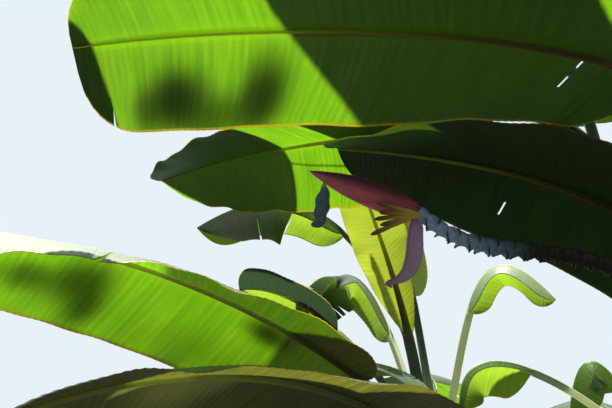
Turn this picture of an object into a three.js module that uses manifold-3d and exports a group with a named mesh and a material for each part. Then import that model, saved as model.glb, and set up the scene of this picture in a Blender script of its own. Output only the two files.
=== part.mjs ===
// A flowering banana plant: four leaning stems from one root, the tallest carrying the flower stalk.
// Millimetres, +Z up. The ground is z = 0 and the origin is the middle of the tallest stem's foot.
import * as THREE from "three";
import { mergeVertices } from "three/addons/utils/BufferGeometryUtils.js";
import Module from "manifold-3d";

const wasm = await Module();
wasm.setup();

// Driving sizes
const CLEARANCE = 0.3; // between one solid and the next
const STEM_SIDES = 14;
const STEM_RINGS = 12;
const FLARE_DEPTH = 110; // height over which a stem's foot swells towards the ground
const RIB_HALF_FOOT = 17; // half width of a leaf stalk where it leaves the stem
const RIB_HALF_TIP = 3;
const RIB_DEPTH_FOOT = 27;
const RIB_DEPTH_TIP = 7;
const BLADE_THICK = 0.0115; // beside the rib, as a share of the blade's length
const MARGIN_THICK = 0.01;
const STALK_STATIONS = [0, 0.3, 0.65];
const BLADE_STATIONS = [0, 0.025, 0.08, 0.17, 0.3, 0.44, 0.58, 0.71, 0.82, 0.89, 0.94, 0.98, 1];
const WIDENING = 0.17; // share of the blade over which it widens from the stalk, unless a leaf has its own
const TIP_SHARES = [0.2, 0.2]; // share of the blade over which its left and right halves round off to the tip, likewise
const CURVE_STEPS = 240;

// Colours from the photograph
const PAINT = {
  stem: { color: 0x7d8f4a, roughness: 0.6 },
  leaf: { color: 0x3f7a22, roughness: 0.45 },
  stalk: { color: 0x3d3a44, roughness: 0.7 },
  bud: { color: 0x7c2247, roughness: 0.45 },
  bract: { color: 0x9b5078, roughness: 0.5 },
  withered: { color: 0x354a4c, roughness: 0.8 },
};

// Each stem: foot on the ground, top, radius above the flare and at the top, and how far the foot flares.
const STEMS = {
  stem_1: { foot: [0, 0], top: [-30, -15, 1480], radius: 84, topRadius: 44, flare: 46 },
  stem_2: { foot: [-245, 320], top: [-580, 820, 1400], radius: 68, topRadius: 38, flare: 38 },
  stem_3: { foot: [-175, 130], top: [-600, 440, 1250], radius: 70, topRadius: 38, flare: 40 },
  stem_4: { foot: [45, 200], top: [20, 700, 1150], radius: 58, topRadius: 34, flare: 34 },
};

// Each leaf: the stem, then the side and height it leaves at; a cubic curve from there by its launch heading, climb
// and pull, its tip, and its heading, climb and pull at the tip; then the length of its stalk, half the width of
// its blade, the blade's roll about the rib at its base, middle and tip, and how far both halves droop beside the
// rib and at the margin. Angles are in degrees. split, where given, is the share of the length at which a leaf that
// arches over is parted in two; widening and rounding stand in for the common WIDENING and TIP_SHARES. wide
// stretches the left and right halves' widths, and girth the stalk and rib.
const LEAVES = {
  leaf_1a: { stem: "stem_1", exit: [121, 1462], launch: [182, 104, 729], tip: [-1378, -70, 2058], end: [153, 8, 662],
    stalk: 660, half: 170, roll: [-6, -37, -52], droop: [4, 6], widening: 0.1, rounding: [0.36, 0.11] },
  leaf_1b: { stem: "stem_1", exit: [77, 1356], launch: [80, 82, 805], tip: [-1464, 980, 2128], end: [138, -1, 804],
    stalk: 900, half: 240, roll: [-5, -22, -10], droop: [19, 22], rounding: [0.8, 0.45] },
  leaf_1c: { stem: "stem_1", exit: [158, 1346], launch: [128, 90, 429], tip: [-865, 480, 2068], end: [158, 11, 395],
    stalk: 415, half: 190, roll: [-44, -34, -6], droop: [18, 29], widening: 0.08, rounding: [0.17, 0.17], wide: [1.3, 1] },
  leaf_1d: { stem: "stem_1", exit: [250, 1400], launch: [250, 80, 760], tip: [-480, -1010, 2080], end: [246, -35, 420],
    stalk: 480, half: 165, roll: [0, 0, 0], droop: [12, 24] },
  leaf_1e: { stem: "stem_1", exit: [60, 1440], launch: [84, 80, 860], tip: [200, 1150, 2420], end: [82, -25, 450],
    stalk: 520, half: 190, roll: [0, 10, 10], droop: [10, 20] },
  leaf_1j: { stem: "stem_1", exit: [95, 1230], launch: [108, 78, 1200], tip: [-1560, 850, 2440], end: [180, -8, 700],
    stalk: 820, half: 265, roll: [0, 0, 0], droop: [8, 16] },
  leaf_2a: { stem: "stem_2", exit: [200, 1350], launch: [192, 85, 329], tip: [-792, 766, 2134], end: [220, 69, 255],
    stalk: 235, half: 109, roll: [-11, -36, -34], droop: [7, 12], widening: 0.6, girth: 1.5 },
  leaf_2b: { stem: "stem_2", exit: [68, 1370], launch: [95, 72, 300], tip: [-654, 960, 2316], end: [99, 83, 312],
    stalk: 350, half: 115, roll: [0, 0, 0], droop: [8, 14] },
  leaf_2c: { stem: "stem_2", exit: [108, 1310], launch: [85, 58, 482], tip: [-1354, 1100, 1984], end: [205, -37, 674],
    stalk: 790, half: 144, roll: [0, 0, 0], droop: [62, 78], split: 0.68, wide: [1.35, 0.9] },
  leaf_2d: { stem: "stem_2", exit: [180, 1218], launch: [140, 72, 240], tip: [-954, 1044, 1628], end: [204, -64, 548],
    stalk: 400, half: 135, roll: [0, -15, -50], droop: [38, 58], split: 0.66 },
  leaf_2e: { stem: "stem_2", exit: [310, 1320], launch: [307, 66, 220], tip: [-243, 646, 1673], end: [321, -53, 411],
    stalk: 340, half: 132, roll: [0, 0, 0], droop: [35, 55], split: 0.68, wide: [0.6, 1.15] },
  leaf_2g: { stem: "stem_2", exit: [230, 1190], launch: [160, 66, 380], tip: [-1180, 1010, 1745], end: [176, -8, 200],
    stalk: 520, half: 105, roll: [-50, -50, -50], droop: [8, 14] },
  leaf_3a: { stem: "stem_3", exit: [215, 1190], launch: [216, 75, 323], tip: [-1707, -175, 1677], end: [226, -26, 403],
    stalk: 363, half: 173, roll: [-41, -27, 1], droop: [26, 44], rounding: [0.15, 0.15] },
  leaf_3b: { stem: "stem_3", exit: [250, 1140], launch: [236, 61, 372], tip: [-1356, -218, 1429], end: [221, -19, 372],
    stalk: 239, half: 185, roll: [-35, -21, -33], droop: [14, 27] },
  leaf_3c: { stem: "stem_3", exit: [120, 1200], launch: [110, 72, 200], tip: [-800, 690, 1500], end: [150, -5, 160],
    stalk: 150, half: 70, roll: [0, 0, 0], droop: [8, 14] },
  leaf_4a: { stem: "stem_4", exit: [300, 1100], launch: [330, 72, 200], tip: [-548, 588, 1383], end: [268, -84, 334],
    stalk: 560, half: 95, roll: [0, 0, 0], droop: [52, 70], split: 0.62, wide: [0.55, 1.15] },
  leaf_4b: { stem: "stem_4", exit: [165, 1110], launch: [335, 74, 160], tip: [-193, 750, 1371], end: [182, -79, 374],
    stalk: 330, half: 90, roll: [0, 0, 0], droop: [52, 70], split: 0.5 },
  leaf_4e: { stem: "stem_4", exit: [55, 1040], launch: [90, 88, 1500], tip: [-985, -375, 2500], end: [226, -17, 733],
    stalk: 1350, half: 210, roll: [0, 0, 0], droop: [6, 12] },
};

// The other leaves arch out evenly: name, stem, side and height left at, reach, and how high the tip hangs.
const EVEN_LEAVES = [
  ["leaf_1f", "stem_1", 25, 1380, 1250, 1900],
  ["leaf_1g", "stem_1", 325, 1370, 1200, 1800],
  ["leaf_1h", "stem_1", 285, 1330, 950, 1650],
  ["leaf_1i", "stem_1", 65, 1300, 1150, 1650],
  ["leaf_2f", "stem_2", 85, 1230, 780, 1150],
  ["leaf_3d", "stem_3", 300, 1120, 700, 1050],
  ["leaf_4c", "stem_4", 20, 1080, 950, 1250],
  ["leaf_4d", "stem_4", 95, 1060, 850, 1150],
];
const EVEN_CLIMB = 74;
const EVEN_DROOP = [14, 26];

// The flower stalk's curve, thickness and the spacing of the notches that fallen bracts left on it
const STALK = { start: [-30, -20, 1460], launch: [188, 30, 649], end: [-797, -250, 1704], arrive: [189, 39.5, 184] };
const STALK_RADIUS_CROWN = 15.5;
const STALK_RADIUS_BUD = 9.5;
const SCAR_PITCH = 17;
const SCAR_STEP = 2.6;
const STALK_SIDES = 10;
// The bud: its axis goes on from the stalk's end
const BUD = { heading: 180, climb: 21.5, length: 161, radius: 19.5 };
const BUD_PROFILE = [[0, 0.5], [0.06, 0.72], [0.16, 0.9], [0.3, 1], [0.45, 0.97], [0.6, 0.84], [0.75, 0.62], [0.88, 0.36], [0.96, 0.17], [1, 0.05]];
const BUD_SIDES = 14;
// The open bract hangs on this line from the stalk's end
const BRACT_LINE = [[-799, -250, 1694], [-807, -250, 1672], [-810, -250, 1648], [-814, -250, 1626], [-827, -250, 1611], [-842, -250, 1605]];
const BRACT_ACROSS = 54; // heading of its width
const BRACT_HALF = [8, 18, 21, 17, 10, 5];
const BRACT_THICK = 3;
// The withered bract hangs under the bud: x, z and half width along its line, which lies at the bud's own y
const WITHERED = [[-924.5, 1746.5, 2], [-924, 1734.5, 6], [-926, 1724, 9.3], [-927.5, 1713, 10.5], [-930, 1698.5, 9], [-932, 1689, 8], [-937, 1685.5, 5.6], [-942, 1685, 2.5]];
const WITHERED_DEPTH = 0.4; // its depth as a share of its width
// Flowers between the bud and the open bract, from a point just in front of the stalk's end: heading, climb, length
const FLOWER_ROOT = [0, -11, -6];
const FLOWERS = [[200, 13, 62], [190, -4, 60], [183, -20, 68], [196, 3, 56], [186, -13, 54]];
const FLOWER_RADIUS = 4.2;

const DEG = Math.PI / 180;

// Unit vector from a compass heading (0 is +X, 90 is +Y) and a climb above the horizon, in degrees.
function heading(turn, climb) {
  const flat = Math.cos(climb * DEG);
  return new THREE.Vector3(flat * Math.cos(turn * DEG), flat * Math.sin(turn * DEG), Math.sin(climb * DEG));
}

// A stem's centre line: it leaves the ground leaning and straightens towards the top.
function stemCentre(spec, z) {
  const [x0, y0] = spec.foot;
  const [x1, y1, top] = spec.top;
  const t = Math.min(z / top, 1);
  const lean = 1 - (1 - t) * (1 - t) * 0.55 - (1 - t) * 0.45;
  return new THREE.Vector3(x0 + (x1 - x0) * lean, y0 + (y1 - y0) * lean, z);
}

function stemRadius(spec, z) {
  const t = Math.min(z / spec.top[2], 1);
  return spec.topRadius + (spec.radius - spec.topRadius) * (1 - t) + spec.flare * Math.exp(-z / FLARE_DEPTH);
}

// A closed mesh from rings of points, each ring the same number of points, anticlockwise seen from its end.
function loft(rings, capFaces) {
  const count = rings[0].length;
  const positions = rings.flat().flatMap((p) => [p.x, p.y, p.z]);
  const faces = [];
  for (let i = 0; i + 1 < rings.length; i += 1) {
    for (let j = 0; j < count; j += 1) {
      const a = i * count + j;
      const b = i * count + ((j + 1) % count);
      faces.push(a, b, b + count, a, b + count, a + count);
    }
  }
  const last = (rings.length - 1) * count;
  for (const [a, b, c] of capFaces) {
    faces.push(a, c, b);
    faces.push(last + a, last + b, last + c);
  }
  const geometry = new THREE.BufferGeometry();
  geometry.setAttribute("position", new THREE.Float32BufferAttribute(positions, 3));
  geometry.setIndex(faces);
  return geometry;
}

// Triangles across a convex ring of so many points.
function fan(count) {
  return Array.from({ length: count - 2 }, (_, k) => [0, k + 1, k + 2]);
}

function solidOf(geometry) {
  const bare = geometry.clone();
  bare.deleteAttribute("normal");
  bare.deleteAttribute("uv");
  const merged = mergeVertices(bare, 1e-4);
  const mesh = new wasm.Mesh({
    numProp: 3,
    vertProperties: new Float32Array(merged.attributes.position.array),
    triVerts: new Uint32Array(merged.index.array),
  });
  return new wasm.Manifold(mesh);
}

function geometryOf(solid) {
  const mesh = solid.getMesh();
  const geometry = new THREE.BufferGeometry();
  geometry.setAttribute("position", new THREE.BufferAttribute(new Float32Array(mesh.vertProperties), 3));
  geometry.setIndex(new THREE.BufferAttribute(new Uint32Array(mesh.triVerts), 1));
  geometry.computeVertexNormals();
  return geometry;
}

// The largest body of a solid, without the loose scraps that a cut leaves.
function largest(solid) {
  return solid.decompose().reduce((best, body) => (body.volume() > best.volume() ? body : best));
}

// One stem, a little oval where old leaf sheaths wrap it, closed by a low dome. extra widens it all round.
function stemGeometry(spec, extra) {
  const top = spec.top[2];
  const heights = [];
  for (let k = 0; k <= STEM_RINGS; k += 1) {
    heights.push(top * (k / STEM_RINGS) ** 1.35);
  }
  const rings = heights.map((z) => {
    const centre = stemCentre(spec, z);
    const radius = stemRadius(spec, z) + extra;
    return ringAt(centre, radius);
  });
  rings.push(ringAt(stemCentre(spec, top).setZ(top + 0.45 * spec.topRadius + extra), 0.6 * spec.topRadius + extra));
  if (extra > 0) {
    rings[0].forEach((p) => p.setZ(-extra));
  }
  return loft(rings, fan(STEM_SIDES));
}

function ringAt(centre, radius) {
  return Array.from({ length: STEM_SIDES }, (_, k) => {
    const turn = (2 * Math.PI * k) / STEM_SIDES;
    return new THREE.Vector3(centre.x + radius * Math.cos(turn), centre.y + radius * Math.sin(turn), centre.z);
  });
}

// The leaf's line from inside its stem to its tip.
function leafCurve(spec) {
  const stem = STEMS[spec.stem];
  const [side, height] = spec.exit;
  const start = stemCentre(stem, height).addScaledVector(heading(side, 0), 0.6 * stemRadius(stem, height));
  const tip = new THREE.Vector3(...spec.tip);
  const pullOut = start.clone().addScaledVector(heading(spec.launch[0], spec.launch[1]), spec.launch[2]);
  const pullIn = tip.clone().addScaledVector(heading(spec.end[0], spec.end[1]), -spec.end[2]);
  const curve = new THREE.CubicBezierCurve3(start, pullOut, pullIn, tip);
  curve.arcLengthDivisions = CURVE_STEPS;
  return curve;
}

// Half the blade's width as a share of its widest, for t from 0 at the stalk to 1 at the tip: a quarter ellipse
// at the base, nearly straight sides, and a blunt rounded tip.
function bladeOutline(t, share, tipShare) {
  const widening = t < share ? Math.sqrt(1 - (1 - t / share) ** 2) : 1;
  const rounding = t > 1 - tipShare ? Math.sqrt(1 - ((t - 1 + tipShare) / tipShare) ** 2.8) : 1;
  return widening * rounding * (1 - 0.1 * Math.abs(t - 0.45));
}

// The roll at t along the blade, from its values at the base, the middle and the tip.
function rollAt(spec, t) {
  const [base, middle, tip] = spec.roll;
  return t < 0.5 ? base + (middle - base) * 2 * t : middle + (tip - middle) * (2 * t - 1);
}

// The ten points of a leaf's section: along the top from the left margin to the right one, then back below.
// t is below 0 on the stalk. The leaf's left and right lie level at a roll of 0.
function leafSection(spec, bladeLength, point, tangent, course, t) {
  const blade = Math.max(t, 0);
  const level = heading(course - 90, 0);
  const side = level.addScaledVector(tangent, -level.dot(tangent)).normalize();
  const up = side.clone().cross(tangent);
  const roll = rollAt(spec, blade) * DEG;
  const across = side.clone().multiplyScalar(Math.cos(roll)).addScaledVector(up, Math.sin(roll));
  const above = up.clone().multiplyScalar(Math.cos(roll)).addScaledVector(side, -Math.sin(roll));
  const at = (x, z) => point.clone().addScaledVector(across, x).addScaledVector(above, z);

  const size = Math.min(1, 0.45 + spec.half / 330) * (spec.girth ?? 1);
  const taper = Math.sqrt(blade);
  const ribHalf = size * (RIB_HALF_FOOT + (RIB_HALF_TIP - RIB_HALF_FOOT) * taper);
  const ribDepth = size * (RIB_DEPTH_FOOT + (RIB_DEPTH_TIP - RIB_DEPTH_FOOT) * taper);
  const [leftTip, rightTip] = spec.rounding ?? TIP_SHARES;
  const [leftWide, rightWide] = spec.wide ?? [1, 1];

  const halfSection = (sign) => {
    const [tipShare, wide] = sign < 0 ? [leftTip, leftWide] : [rightTip, rightWide];
    const half = t < 0 ? 0 : spec.half * wide * bladeOutline(blade, spec.widening ?? WIDENING, tipShare);
    if (half < 1.3 * ribHalf) {
      return {
        top: [at(sign * ribHalf * 0.6, 0), at(sign * ribHalf, -0.15 * ribDepth)],
        under: [at(sign * ribHalf * 0.62, -0.85 * ribDepth), at(sign * ribHalf, -0.5 * ribDepth)],
      };
    }
    const inner = spec.droop[0] * DEG;
    const outer = spec.droop[1] * DEG;
    const bend = (inner + outer) / 2;
    const middle = [(half / 2) * Math.cos(inner), (-half / 2) * Math.sin(inner)];
    const thick = BLADE_THICK * bladeLength;
    const thin = MARGIN_THICK * bladeLength;
    const margin = [middle[0] + (half / 2) * Math.cos(outer), middle[1] - (half / 2) * Math.sin(outer)];
    return {
      top: [at(sign * middle[0], middle[1]), at(sign * margin[0], margin[1])],
      under: [
        at(sign * (middle[0] - thick * Math.sin(bend)), middle[1] - thick * Math.cos(bend)),
        at(sign * (margin[0] - thin * Math.sin(outer)), margin[1] - thin * Math.cos(outer)),
      ],
    };
  };
  const left = halfSection(-1);
  const right = halfSection(1);
  return [
    left.top[1], left.top[0], at(0, 0), right.top[0], right.top[1],
    right.under[1], right.under[0], at(0, -ribDepth), left.under[0], left.under[1],
  ];
}

// Triangles across a leaf's section, between its top and bottom lines.
const LEAF_CAP = [[0, 1, 8], [0, 8, 9], [1, 2, 7], [1, 7, 8], [2, 3, 6], [2, 6, 7], [3, 4, 5], [3, 5, 6]];

// One leaf as a solid, or as two solids that meet at its bend.
function leafSolids(spec) {
  const curve = leafCurve(spec);
  const length = curve.getLength();
  const bladeLength = length - spec.stalk;
  const course = Math.atan2(spec.tip[1] - curve.v0.y, spec.tip[0] - curve.v0.x) / DEG;
  const stations = [
    ...STALK_STATIONS.map((share) => share * spec.stalk),
    ...BLADE_STATIONS.map((t) => spec.stalk + t * bladeLength),
  ];
  const between = (low, high) => {
    const ends = [low, ...stations.filter((s) => s > low + 12 && s < high - 12), high];
    const rings = ends.map((s) => {
      const u = s / length;
      const t = s < spec.stalk - 1e-6 ? -1 : (s - spec.stalk) / bladeLength;
      return leafSection(spec, bladeLength, curve.getPointAt(u), curve.getTangentAt(u), course, t);
    });
    return solidOf(loft(rings, LEAF_CAP));
  };
  const cut = (spec.split ?? 1) * length;
  const inner = largest(between(0, spec.split ? cut - CLEARANCE / 2 : length).subtract(stemCutters[spec.stem]));
  return spec.split ? [inner, between(cut + CLEARANCE / 2, length)] : [inner];
}

// An evenly arching leaf, written out like those in LEAVES.
function evenLeaf([stem, side, height, reach, tipHeight]) {
  const foot = stemCentre(STEMS[stem], height);
  const tip = foot.clone().addScaledVector(heading(side, 0), reach).setZ(tipHeight);
  return {
    stem, exit: [side, height], launch: [side, EVEN_CLIMB, 0.62 * reach], tip: tip.toArray(),
    end: [side, -42, 0.42 * reach], stalk: 0.34 * reach, half: 60 + 0.1 * reach, roll: [0, 0, 0],
    droop: EVEN_DROOP, split: 0.66,
  };
}

// Rings of points round a line; stations are [point, direction, radius, the level width's share of the radius].
function tube(stations, sides) {
  const rings = stations.map(([point, direction, radius, share = 1]) => {
    const side = new THREE.Vector3(direction.y, -direction.x, 0).normalize();
    const up = side.clone().cross(direction).normalize();
    return Array.from({ length: sides }, (_, k) => {
      const turn = (-2 * Math.PI * k) / sides;
      return point.clone().addScaledVector(side, share * radius * Math.cos(turn)).addScaledVector(up, radius * Math.sin(turn));
    });
  });
  return solidOf(loft(rings, fan(sides)));
}

// The flower stalk, notched where bracts have fallen. extra widens it all round.
function stalkSolid(extra) {
  const start = new THREE.Vector3(...STALK.start);
  const end = new THREE.Vector3(...STALK.end);
  const [turn, climb, pull] = STALK.launch;
  const curve = new THREE.CubicBezierCurve3(
    start,
    start.clone().addScaledVector(heading(turn, climb), pull),
    end.clone().addScaledVector(heading(STALK.arrive[0], STALK.arrive[1]), -STALK.arrive[2]),
    end,
  );
  curve.arcLengthDivisions = CURVE_STEPS;
  const length = curve.getLength();
  const scars = Math.round(length / SCAR_PITCH);
  const stations = [];
  for (let k = 0; k < scars; k += 1) {
    for (const [share, step] of [[0, 0], [0.8, SCAR_STEP]]) {
      const u = (k + share) / scars;
      const radius = STALK_RADIUS_CROWN + (STALK_RADIUS_BUD - STALK_RADIUS_CROWN) * u ** 0.8 + step + extra;
      stations.push([curve.getPointAt(u), curve.getTangentAt(u), radius]);
    }
  }
  stations.push([curve.getPointAt(1), curve.getTangentAt(1), STALK_RADIUS_BUD + SCAR_STEP + extra]);
  return tube(stations, STALK_SIDES);
}

function budSolid(extra) {
  const axis = heading(BUD.heading, BUD.climb);
  const foot = new THREE.Vector3(...STALK.end).addScaledVector(axis, -2 - extra);
  const stations = BUD_PROFILE.map(([share, width]) => [
    foot.clone().addScaledVector(axis, share * (BUD.length + 2 * extra)), axis, width * BUD.radius + extra,
  ]);
  return tube(stations, BUD_SIDES);
}

function flowerSolid([turn, climb, length], extra) {
  const axis = heading(turn, climb);
  const foot = new THREE.Vector3(...STALK.end).addScaledVector(heading(STALK.arrive[0], STALK.arrive[1]), -4)
    .add(new THREE.Vector3(...FLOWER_ROOT));
  const stations = [[0, 0.7], [0.3, 1], [0.75, 0.8], [1, 0.35]].map(([share, width]) => [
    foot.clone().addScaledVector(axis, share * length), axis, width * FLOWER_RADIUS + extra,
  ]);
  return tube(stations, 6);
}

// The open bract: a thin tongue that follows its line, hollow towards the bud.
function bractSolid() {
  const line = BRACT_LINE.map((p) => new THREE.Vector3(...p));
  const across = heading(BRACT_ACROSS, 0);
  const rings = line.map((point, k) => {
    const direction = line[Math.min(k + 1, line.length - 1)].clone().sub(line[Math.max(k - 1, 0)]).normalize();
    const front = across.clone().cross(direction).normalize();
    const half = BRACT_HALF[k];
    const at = (x, z) => point.clone().addScaledVector(across, x).addScaledVector(front, z);
    const bow = 0.45 * half;
    return [
      at(-half, -bow), at(-0.55 * half, -0.3 * bow), at(0, 0), at(0.55 * half, -0.3 * bow), at(half, -bow),
      at(half, -bow - BRACT_THICK * 0.7), at(0.55 * half, -0.3 * bow - BRACT_THICK), at(0, -BRACT_THICK),
      at(-0.55 * half, -0.3 * bow - BRACT_THICK), at(-half, -bow - BRACT_THICK * 0.7),
    ];
  });
  return solidOf(loft(rings, LEAF_CAP));
}

// The withered bract: a flattened curl.
function witheredSolid() {
  const line = WITHERED.map(([x, z]) => new THREE.Vector3(x, STALK.end[1], z));
  const stations = line.map((point, k) => {
    const direction = line[Math.min(k + 1, line.length - 1)].clone().sub(line[Math.max(k - 1, 0)]).normalize();
    return [point, direction, WITHERED[k][2], WITHERED_DEPTH];
  });
  return tube(stations, 8);
}

const group = new THREE.Group();

function add(name, solid, paint) {
  const mesh = new THREE.Mesh(geometryOf(solid), new THREE.MeshStandardMaterial({ ...PAINT[paint], metalness: 0 }));
  mesh.name = name;
  group.add(mesh);
}

const stemCutters = {};
for (const [name, spec] of Object.entries(STEMS)) {
  let stem = solidOf(stemGeometry(spec, 0));
  for (const before of Object.values(stemCutters)) {
    stem = stem.subtract(before);
  }
  stemCutters[name] = solidOf(stemGeometry(spec, CLEARANCE));
  add(name, largest(stem), "stem");
}

const leaves = { ...LEAVES };
for (const [name, ...sizes] of EVEN_LEAVES) {
  leaves[name] = evenLeaf(sizes);
}
for (const [name, spec] of Object.entries(leaves)) {
  const [inner, outer] = leafSolids(spec);
  add(name, inner, "leaf");
  if (outer) {
    add(`${name}_outer`, outer, "leaf");
  }
}

const bud = budSolid(0);
const budCutter = budSolid(CLEARANCE);
let stalk = stalkSolid(0);
let stalkCutter = stalkSolid(CLEARANCE);
for (const flower of FLOWERS) {
  stalk = stalk.add(flowerSolid(flower, 0));
  stalkCutter = stalkCutter.add(flowerSolid(flower, CLEARANCE));
}
add("flower_stalk", largest(stalk.subtract(budCutter).subtract(stemCutters.stem_1)), "stalk");
add("flower_bud", bud, "bud");
add("open_bract", largest(bractSolid().subtract(stalkCutter).subtract(budCutter)), "bract");
add("withered_bract", largest(witheredSolid().subtract(budCutter)), "withered");

export default group;
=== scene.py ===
# %% [markdown]
# # A flowering banana plant
#
# A banana plant has no wood. What looks like a trunk is a roll of leaf bases, each wrapped round the next,
# and every leaf comes out of the top of that roll, arches over and hangs. The oldest stem also sends out a
# flower stalk that ends in a pointed bud.
#
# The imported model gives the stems, leaves and flower as plain solids. This notebook makes a finer surface for
# each of them, worked out with numpy from the same sizes, and then gives them their finishes, light and
# camera. Lengths are in metres and angles in degrees.

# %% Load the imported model
import bpy
import numpy as np
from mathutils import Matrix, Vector


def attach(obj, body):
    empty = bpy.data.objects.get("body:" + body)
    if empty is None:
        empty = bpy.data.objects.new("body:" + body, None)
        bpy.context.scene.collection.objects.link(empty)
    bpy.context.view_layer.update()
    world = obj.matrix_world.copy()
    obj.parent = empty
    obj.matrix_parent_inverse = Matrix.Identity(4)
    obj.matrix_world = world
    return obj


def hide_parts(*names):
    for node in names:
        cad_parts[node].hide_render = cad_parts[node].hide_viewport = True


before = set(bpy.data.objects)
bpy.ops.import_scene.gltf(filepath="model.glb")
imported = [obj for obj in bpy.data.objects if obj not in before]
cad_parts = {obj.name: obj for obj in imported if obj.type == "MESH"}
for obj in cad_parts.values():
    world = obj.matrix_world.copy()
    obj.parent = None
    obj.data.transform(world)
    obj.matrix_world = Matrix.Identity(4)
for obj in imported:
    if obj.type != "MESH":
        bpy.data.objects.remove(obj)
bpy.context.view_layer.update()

# %% [markdown]
# ## Putting arrays into meshes
#
# A mesh is three arrays: where its points are, which points each face uses, and, for a pattern, a pair of
# numbers at each point. Blender could build them one vertex at a time, but whole arrays are faster and the
# shape stays a formula.

# %% From arrays to a piece
def piece(name, points, faces, nodes, slot, **point_values):
    """One mesh object from an (n, 3) array and an (m, 4) or (m, 3) array of corners. point_values are named
    arrays with one number at each point, which a material can read as attributes."""
    points = np.asarray(points, np.float64).reshape(-1, 3)
    mesh = bpy.data.meshes.new(name)
    mesh.from_pydata(points, [], faces.tolist() if isinstance(faces, np.ndarray) else faces)
    mesh.polygons.foreach_set("use_smooth", np.full(len(mesh.polygons), True))
    for key, values in point_values.items():
        carrier = mesh.attributes.new(key, "FLOAT", "POINT")
        carrier.data.foreach_set("value", np.ravel(values).astype(np.float32))
    mesh.update()
    made = bpy.data.objects.new(name, mesh)
    bpy.context.scene.collection.objects.link(made)
    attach(made, "root")
    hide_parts(*nodes)
    return made


def grid_faces(rows, columns, closed=False, start=0):
    """Corners of the squares between neighbouring points of a grid; closed joins its last column to its
    first."""
    last = columns if closed else columns - 1
    i, j = np.meshgrid(np.arange(rows - 1), np.arange(last), indexing="ij")
    a = i * columns + j
    b = i * columns + (j + 1) % columns
    return np.stack([a, b, b + columns, a + columns], -1).reshape(-1, 4) + start


def capped(rings):
    """(points, faces) of a closed tube from an (n, k, 3) array: its squares, and a fan of squares' halves to
    a middle point at each end. The rings run anticlockwise as seen from the far end."""
    n, k, _ = rings.shape
    points = np.concatenate([rings.reshape(-1, 3), rings[:1].mean(1), rings[-1:].mean(1)])
    j = np.arange(k)
    nxt = (j + 1) % k
    first = np.stack([nxt, j, np.full(k, n * k)], -1)
    final = np.stack([(n - 1) * k + j, (n - 1) * k + nxt, np.full(k, n * k + 1)], -1)
    faces = grid_faces(n, k, closed=True).tolist() + first.tolist() + final.tolist()
    return points, faces


def several(parts):
    """Joins (points, faces) pairs into one, moving each pair's corner numbers past the points before it."""
    points, faces, count = [], [], 0
    for p, f in parts:
        points.append(p)
        faces.extend([[c + count for c in corners] for corners in f])
        count += len(p)
    return np.concatenate(points), faces


# %% [markdown]
# ## Directions and curves
#
# A leaf leaves its stem steeply, runs out and droops, which is just what a cubic Bézier curve draws from two
# ends and two pulls. The compass helper turns a heading and a climb into a direction. Points on the curve are
# spaced by length, so a pattern along the leaf isn't stretched where the curve's own parameter runs fast.

# %% Headings and Bézier curves
def heading(turn, climb=0.0):
    """Unit vector: turn is the compass angle from +X towards +Y, climb the angle above the horizon."""
    turn, climb = np.radians(turn), np.radians(climb)
    return np.array([np.cos(climb) * np.cos(turn), np.cos(climb) * np.sin(turn), np.sin(climb)])


def unit(v):
    """Each vector divided by its length."""
    return v / np.linalg.norm(v, axis=-1, keepdims=True)


def bezier(p0, p1, p2, p3, count=600):
    """Points of (1-t)^3 p0 + 3(1-t)^2 t p1 + 3(1-t) t^2 p2 + t^3 p3 for even steps of t, and the length to
    each."""
    t = np.linspace(0, 1, count)[:, None]
    points = (1 - t) ** 3 * p0 + 3 * (1 - t) ** 2 * t * p1 + 3 * (1 - t) * t**2 * p2 + t**3 * p3
    length = np.concatenate([[0], np.cumsum(np.linalg.norm(np.diff(points, axis=0), axis=1))])
    return points, length


def along(points, length, s):
    """Where the curve is after a length s, and its direction there."""
    where = np.stack([np.interp(s, length, points[:, k]) for k in range(3)], -1)
    slope = np.gradient(points, length, axis=0)
    return where, unit(np.stack([np.interp(s, length, slope[:, k]) for k in range(3)], -1))


def ramp(x, low, high):
    """0 below low, 1 above high, and an even S between them: 3x^2 - 2x^3."""
    x = np.clip((x - low) / (high - low), 0, 1)
    return x * x * (3 - 2 * x)


# %% [markdown]
# ## The stems' sizes
#
# Four stems rise from one root and lean apart as they look for light. Each is given by its foot, its top, its
# radius at both ends and how far it swells into the ground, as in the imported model.

# %% Stems
STEMS = {
    "stem_1": dict(foot=(0, 0), top=(-0.030, -0.015, 1.480), radius=0.084, top_radius=0.044, flare=0.046),
    "stem_2": dict(foot=(-0.245, 0.320), top=(-0.580, 0.820, 1.400), radius=0.068, top_radius=0.038,
                   flare=0.038),
    "stem_3": dict(foot=(-0.175, 0.130), top=(-0.600, 0.440, 1.250), radius=0.070, top_radius=0.038,
                   flare=0.040),
    "stem_4": dict(foot=(0.045, 0.200), top=(0.020, 0.700, 1.150), radius=0.058, top_radius=0.034,
                   flare=0.034),
}


def stem_centre(stem, z):
    """The middle of a stem at height z. With t = z / top, the share of the lean that it has there is
    1 - 0.55 (1-t)^2 - 0.45 (1-t)."""
    t = np.clip(np.asarray(z, float) / stem["top"][2], 0, 1)
    lean = 1 - 0.55 * (1 - t) ** 2 - 0.45 * (1 - t)
    foot, top = np.array(stem["foot"], float), np.array(stem["top"][:2], float)
    flat = foot + (top - foot) * lean[..., None]
    return np.concatenate([flat, np.asarray(z, float)[..., None]], -1)


def stem_radius(stem, z):
    """Radius at height z: a straight taper, plus the flare times e^(-z / 0.11) at the foot."""
    t = np.clip(np.asarray(z, float) / stem["top"][2], 0, 1)
    taper = stem["top_radius"] + (stem["radius"] - stem["top_radius"]) * (1 - t)
    return taper + stem["flare"] * np.exp(-z / 0.11)


for name, stem in STEMS.items():
    lean = np.hypot(*np.subtract(stem["top"][:2], stem["foot"]))
    print(name, "height", stem["top"][2], "lean", round(float(lean), 2))

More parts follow.
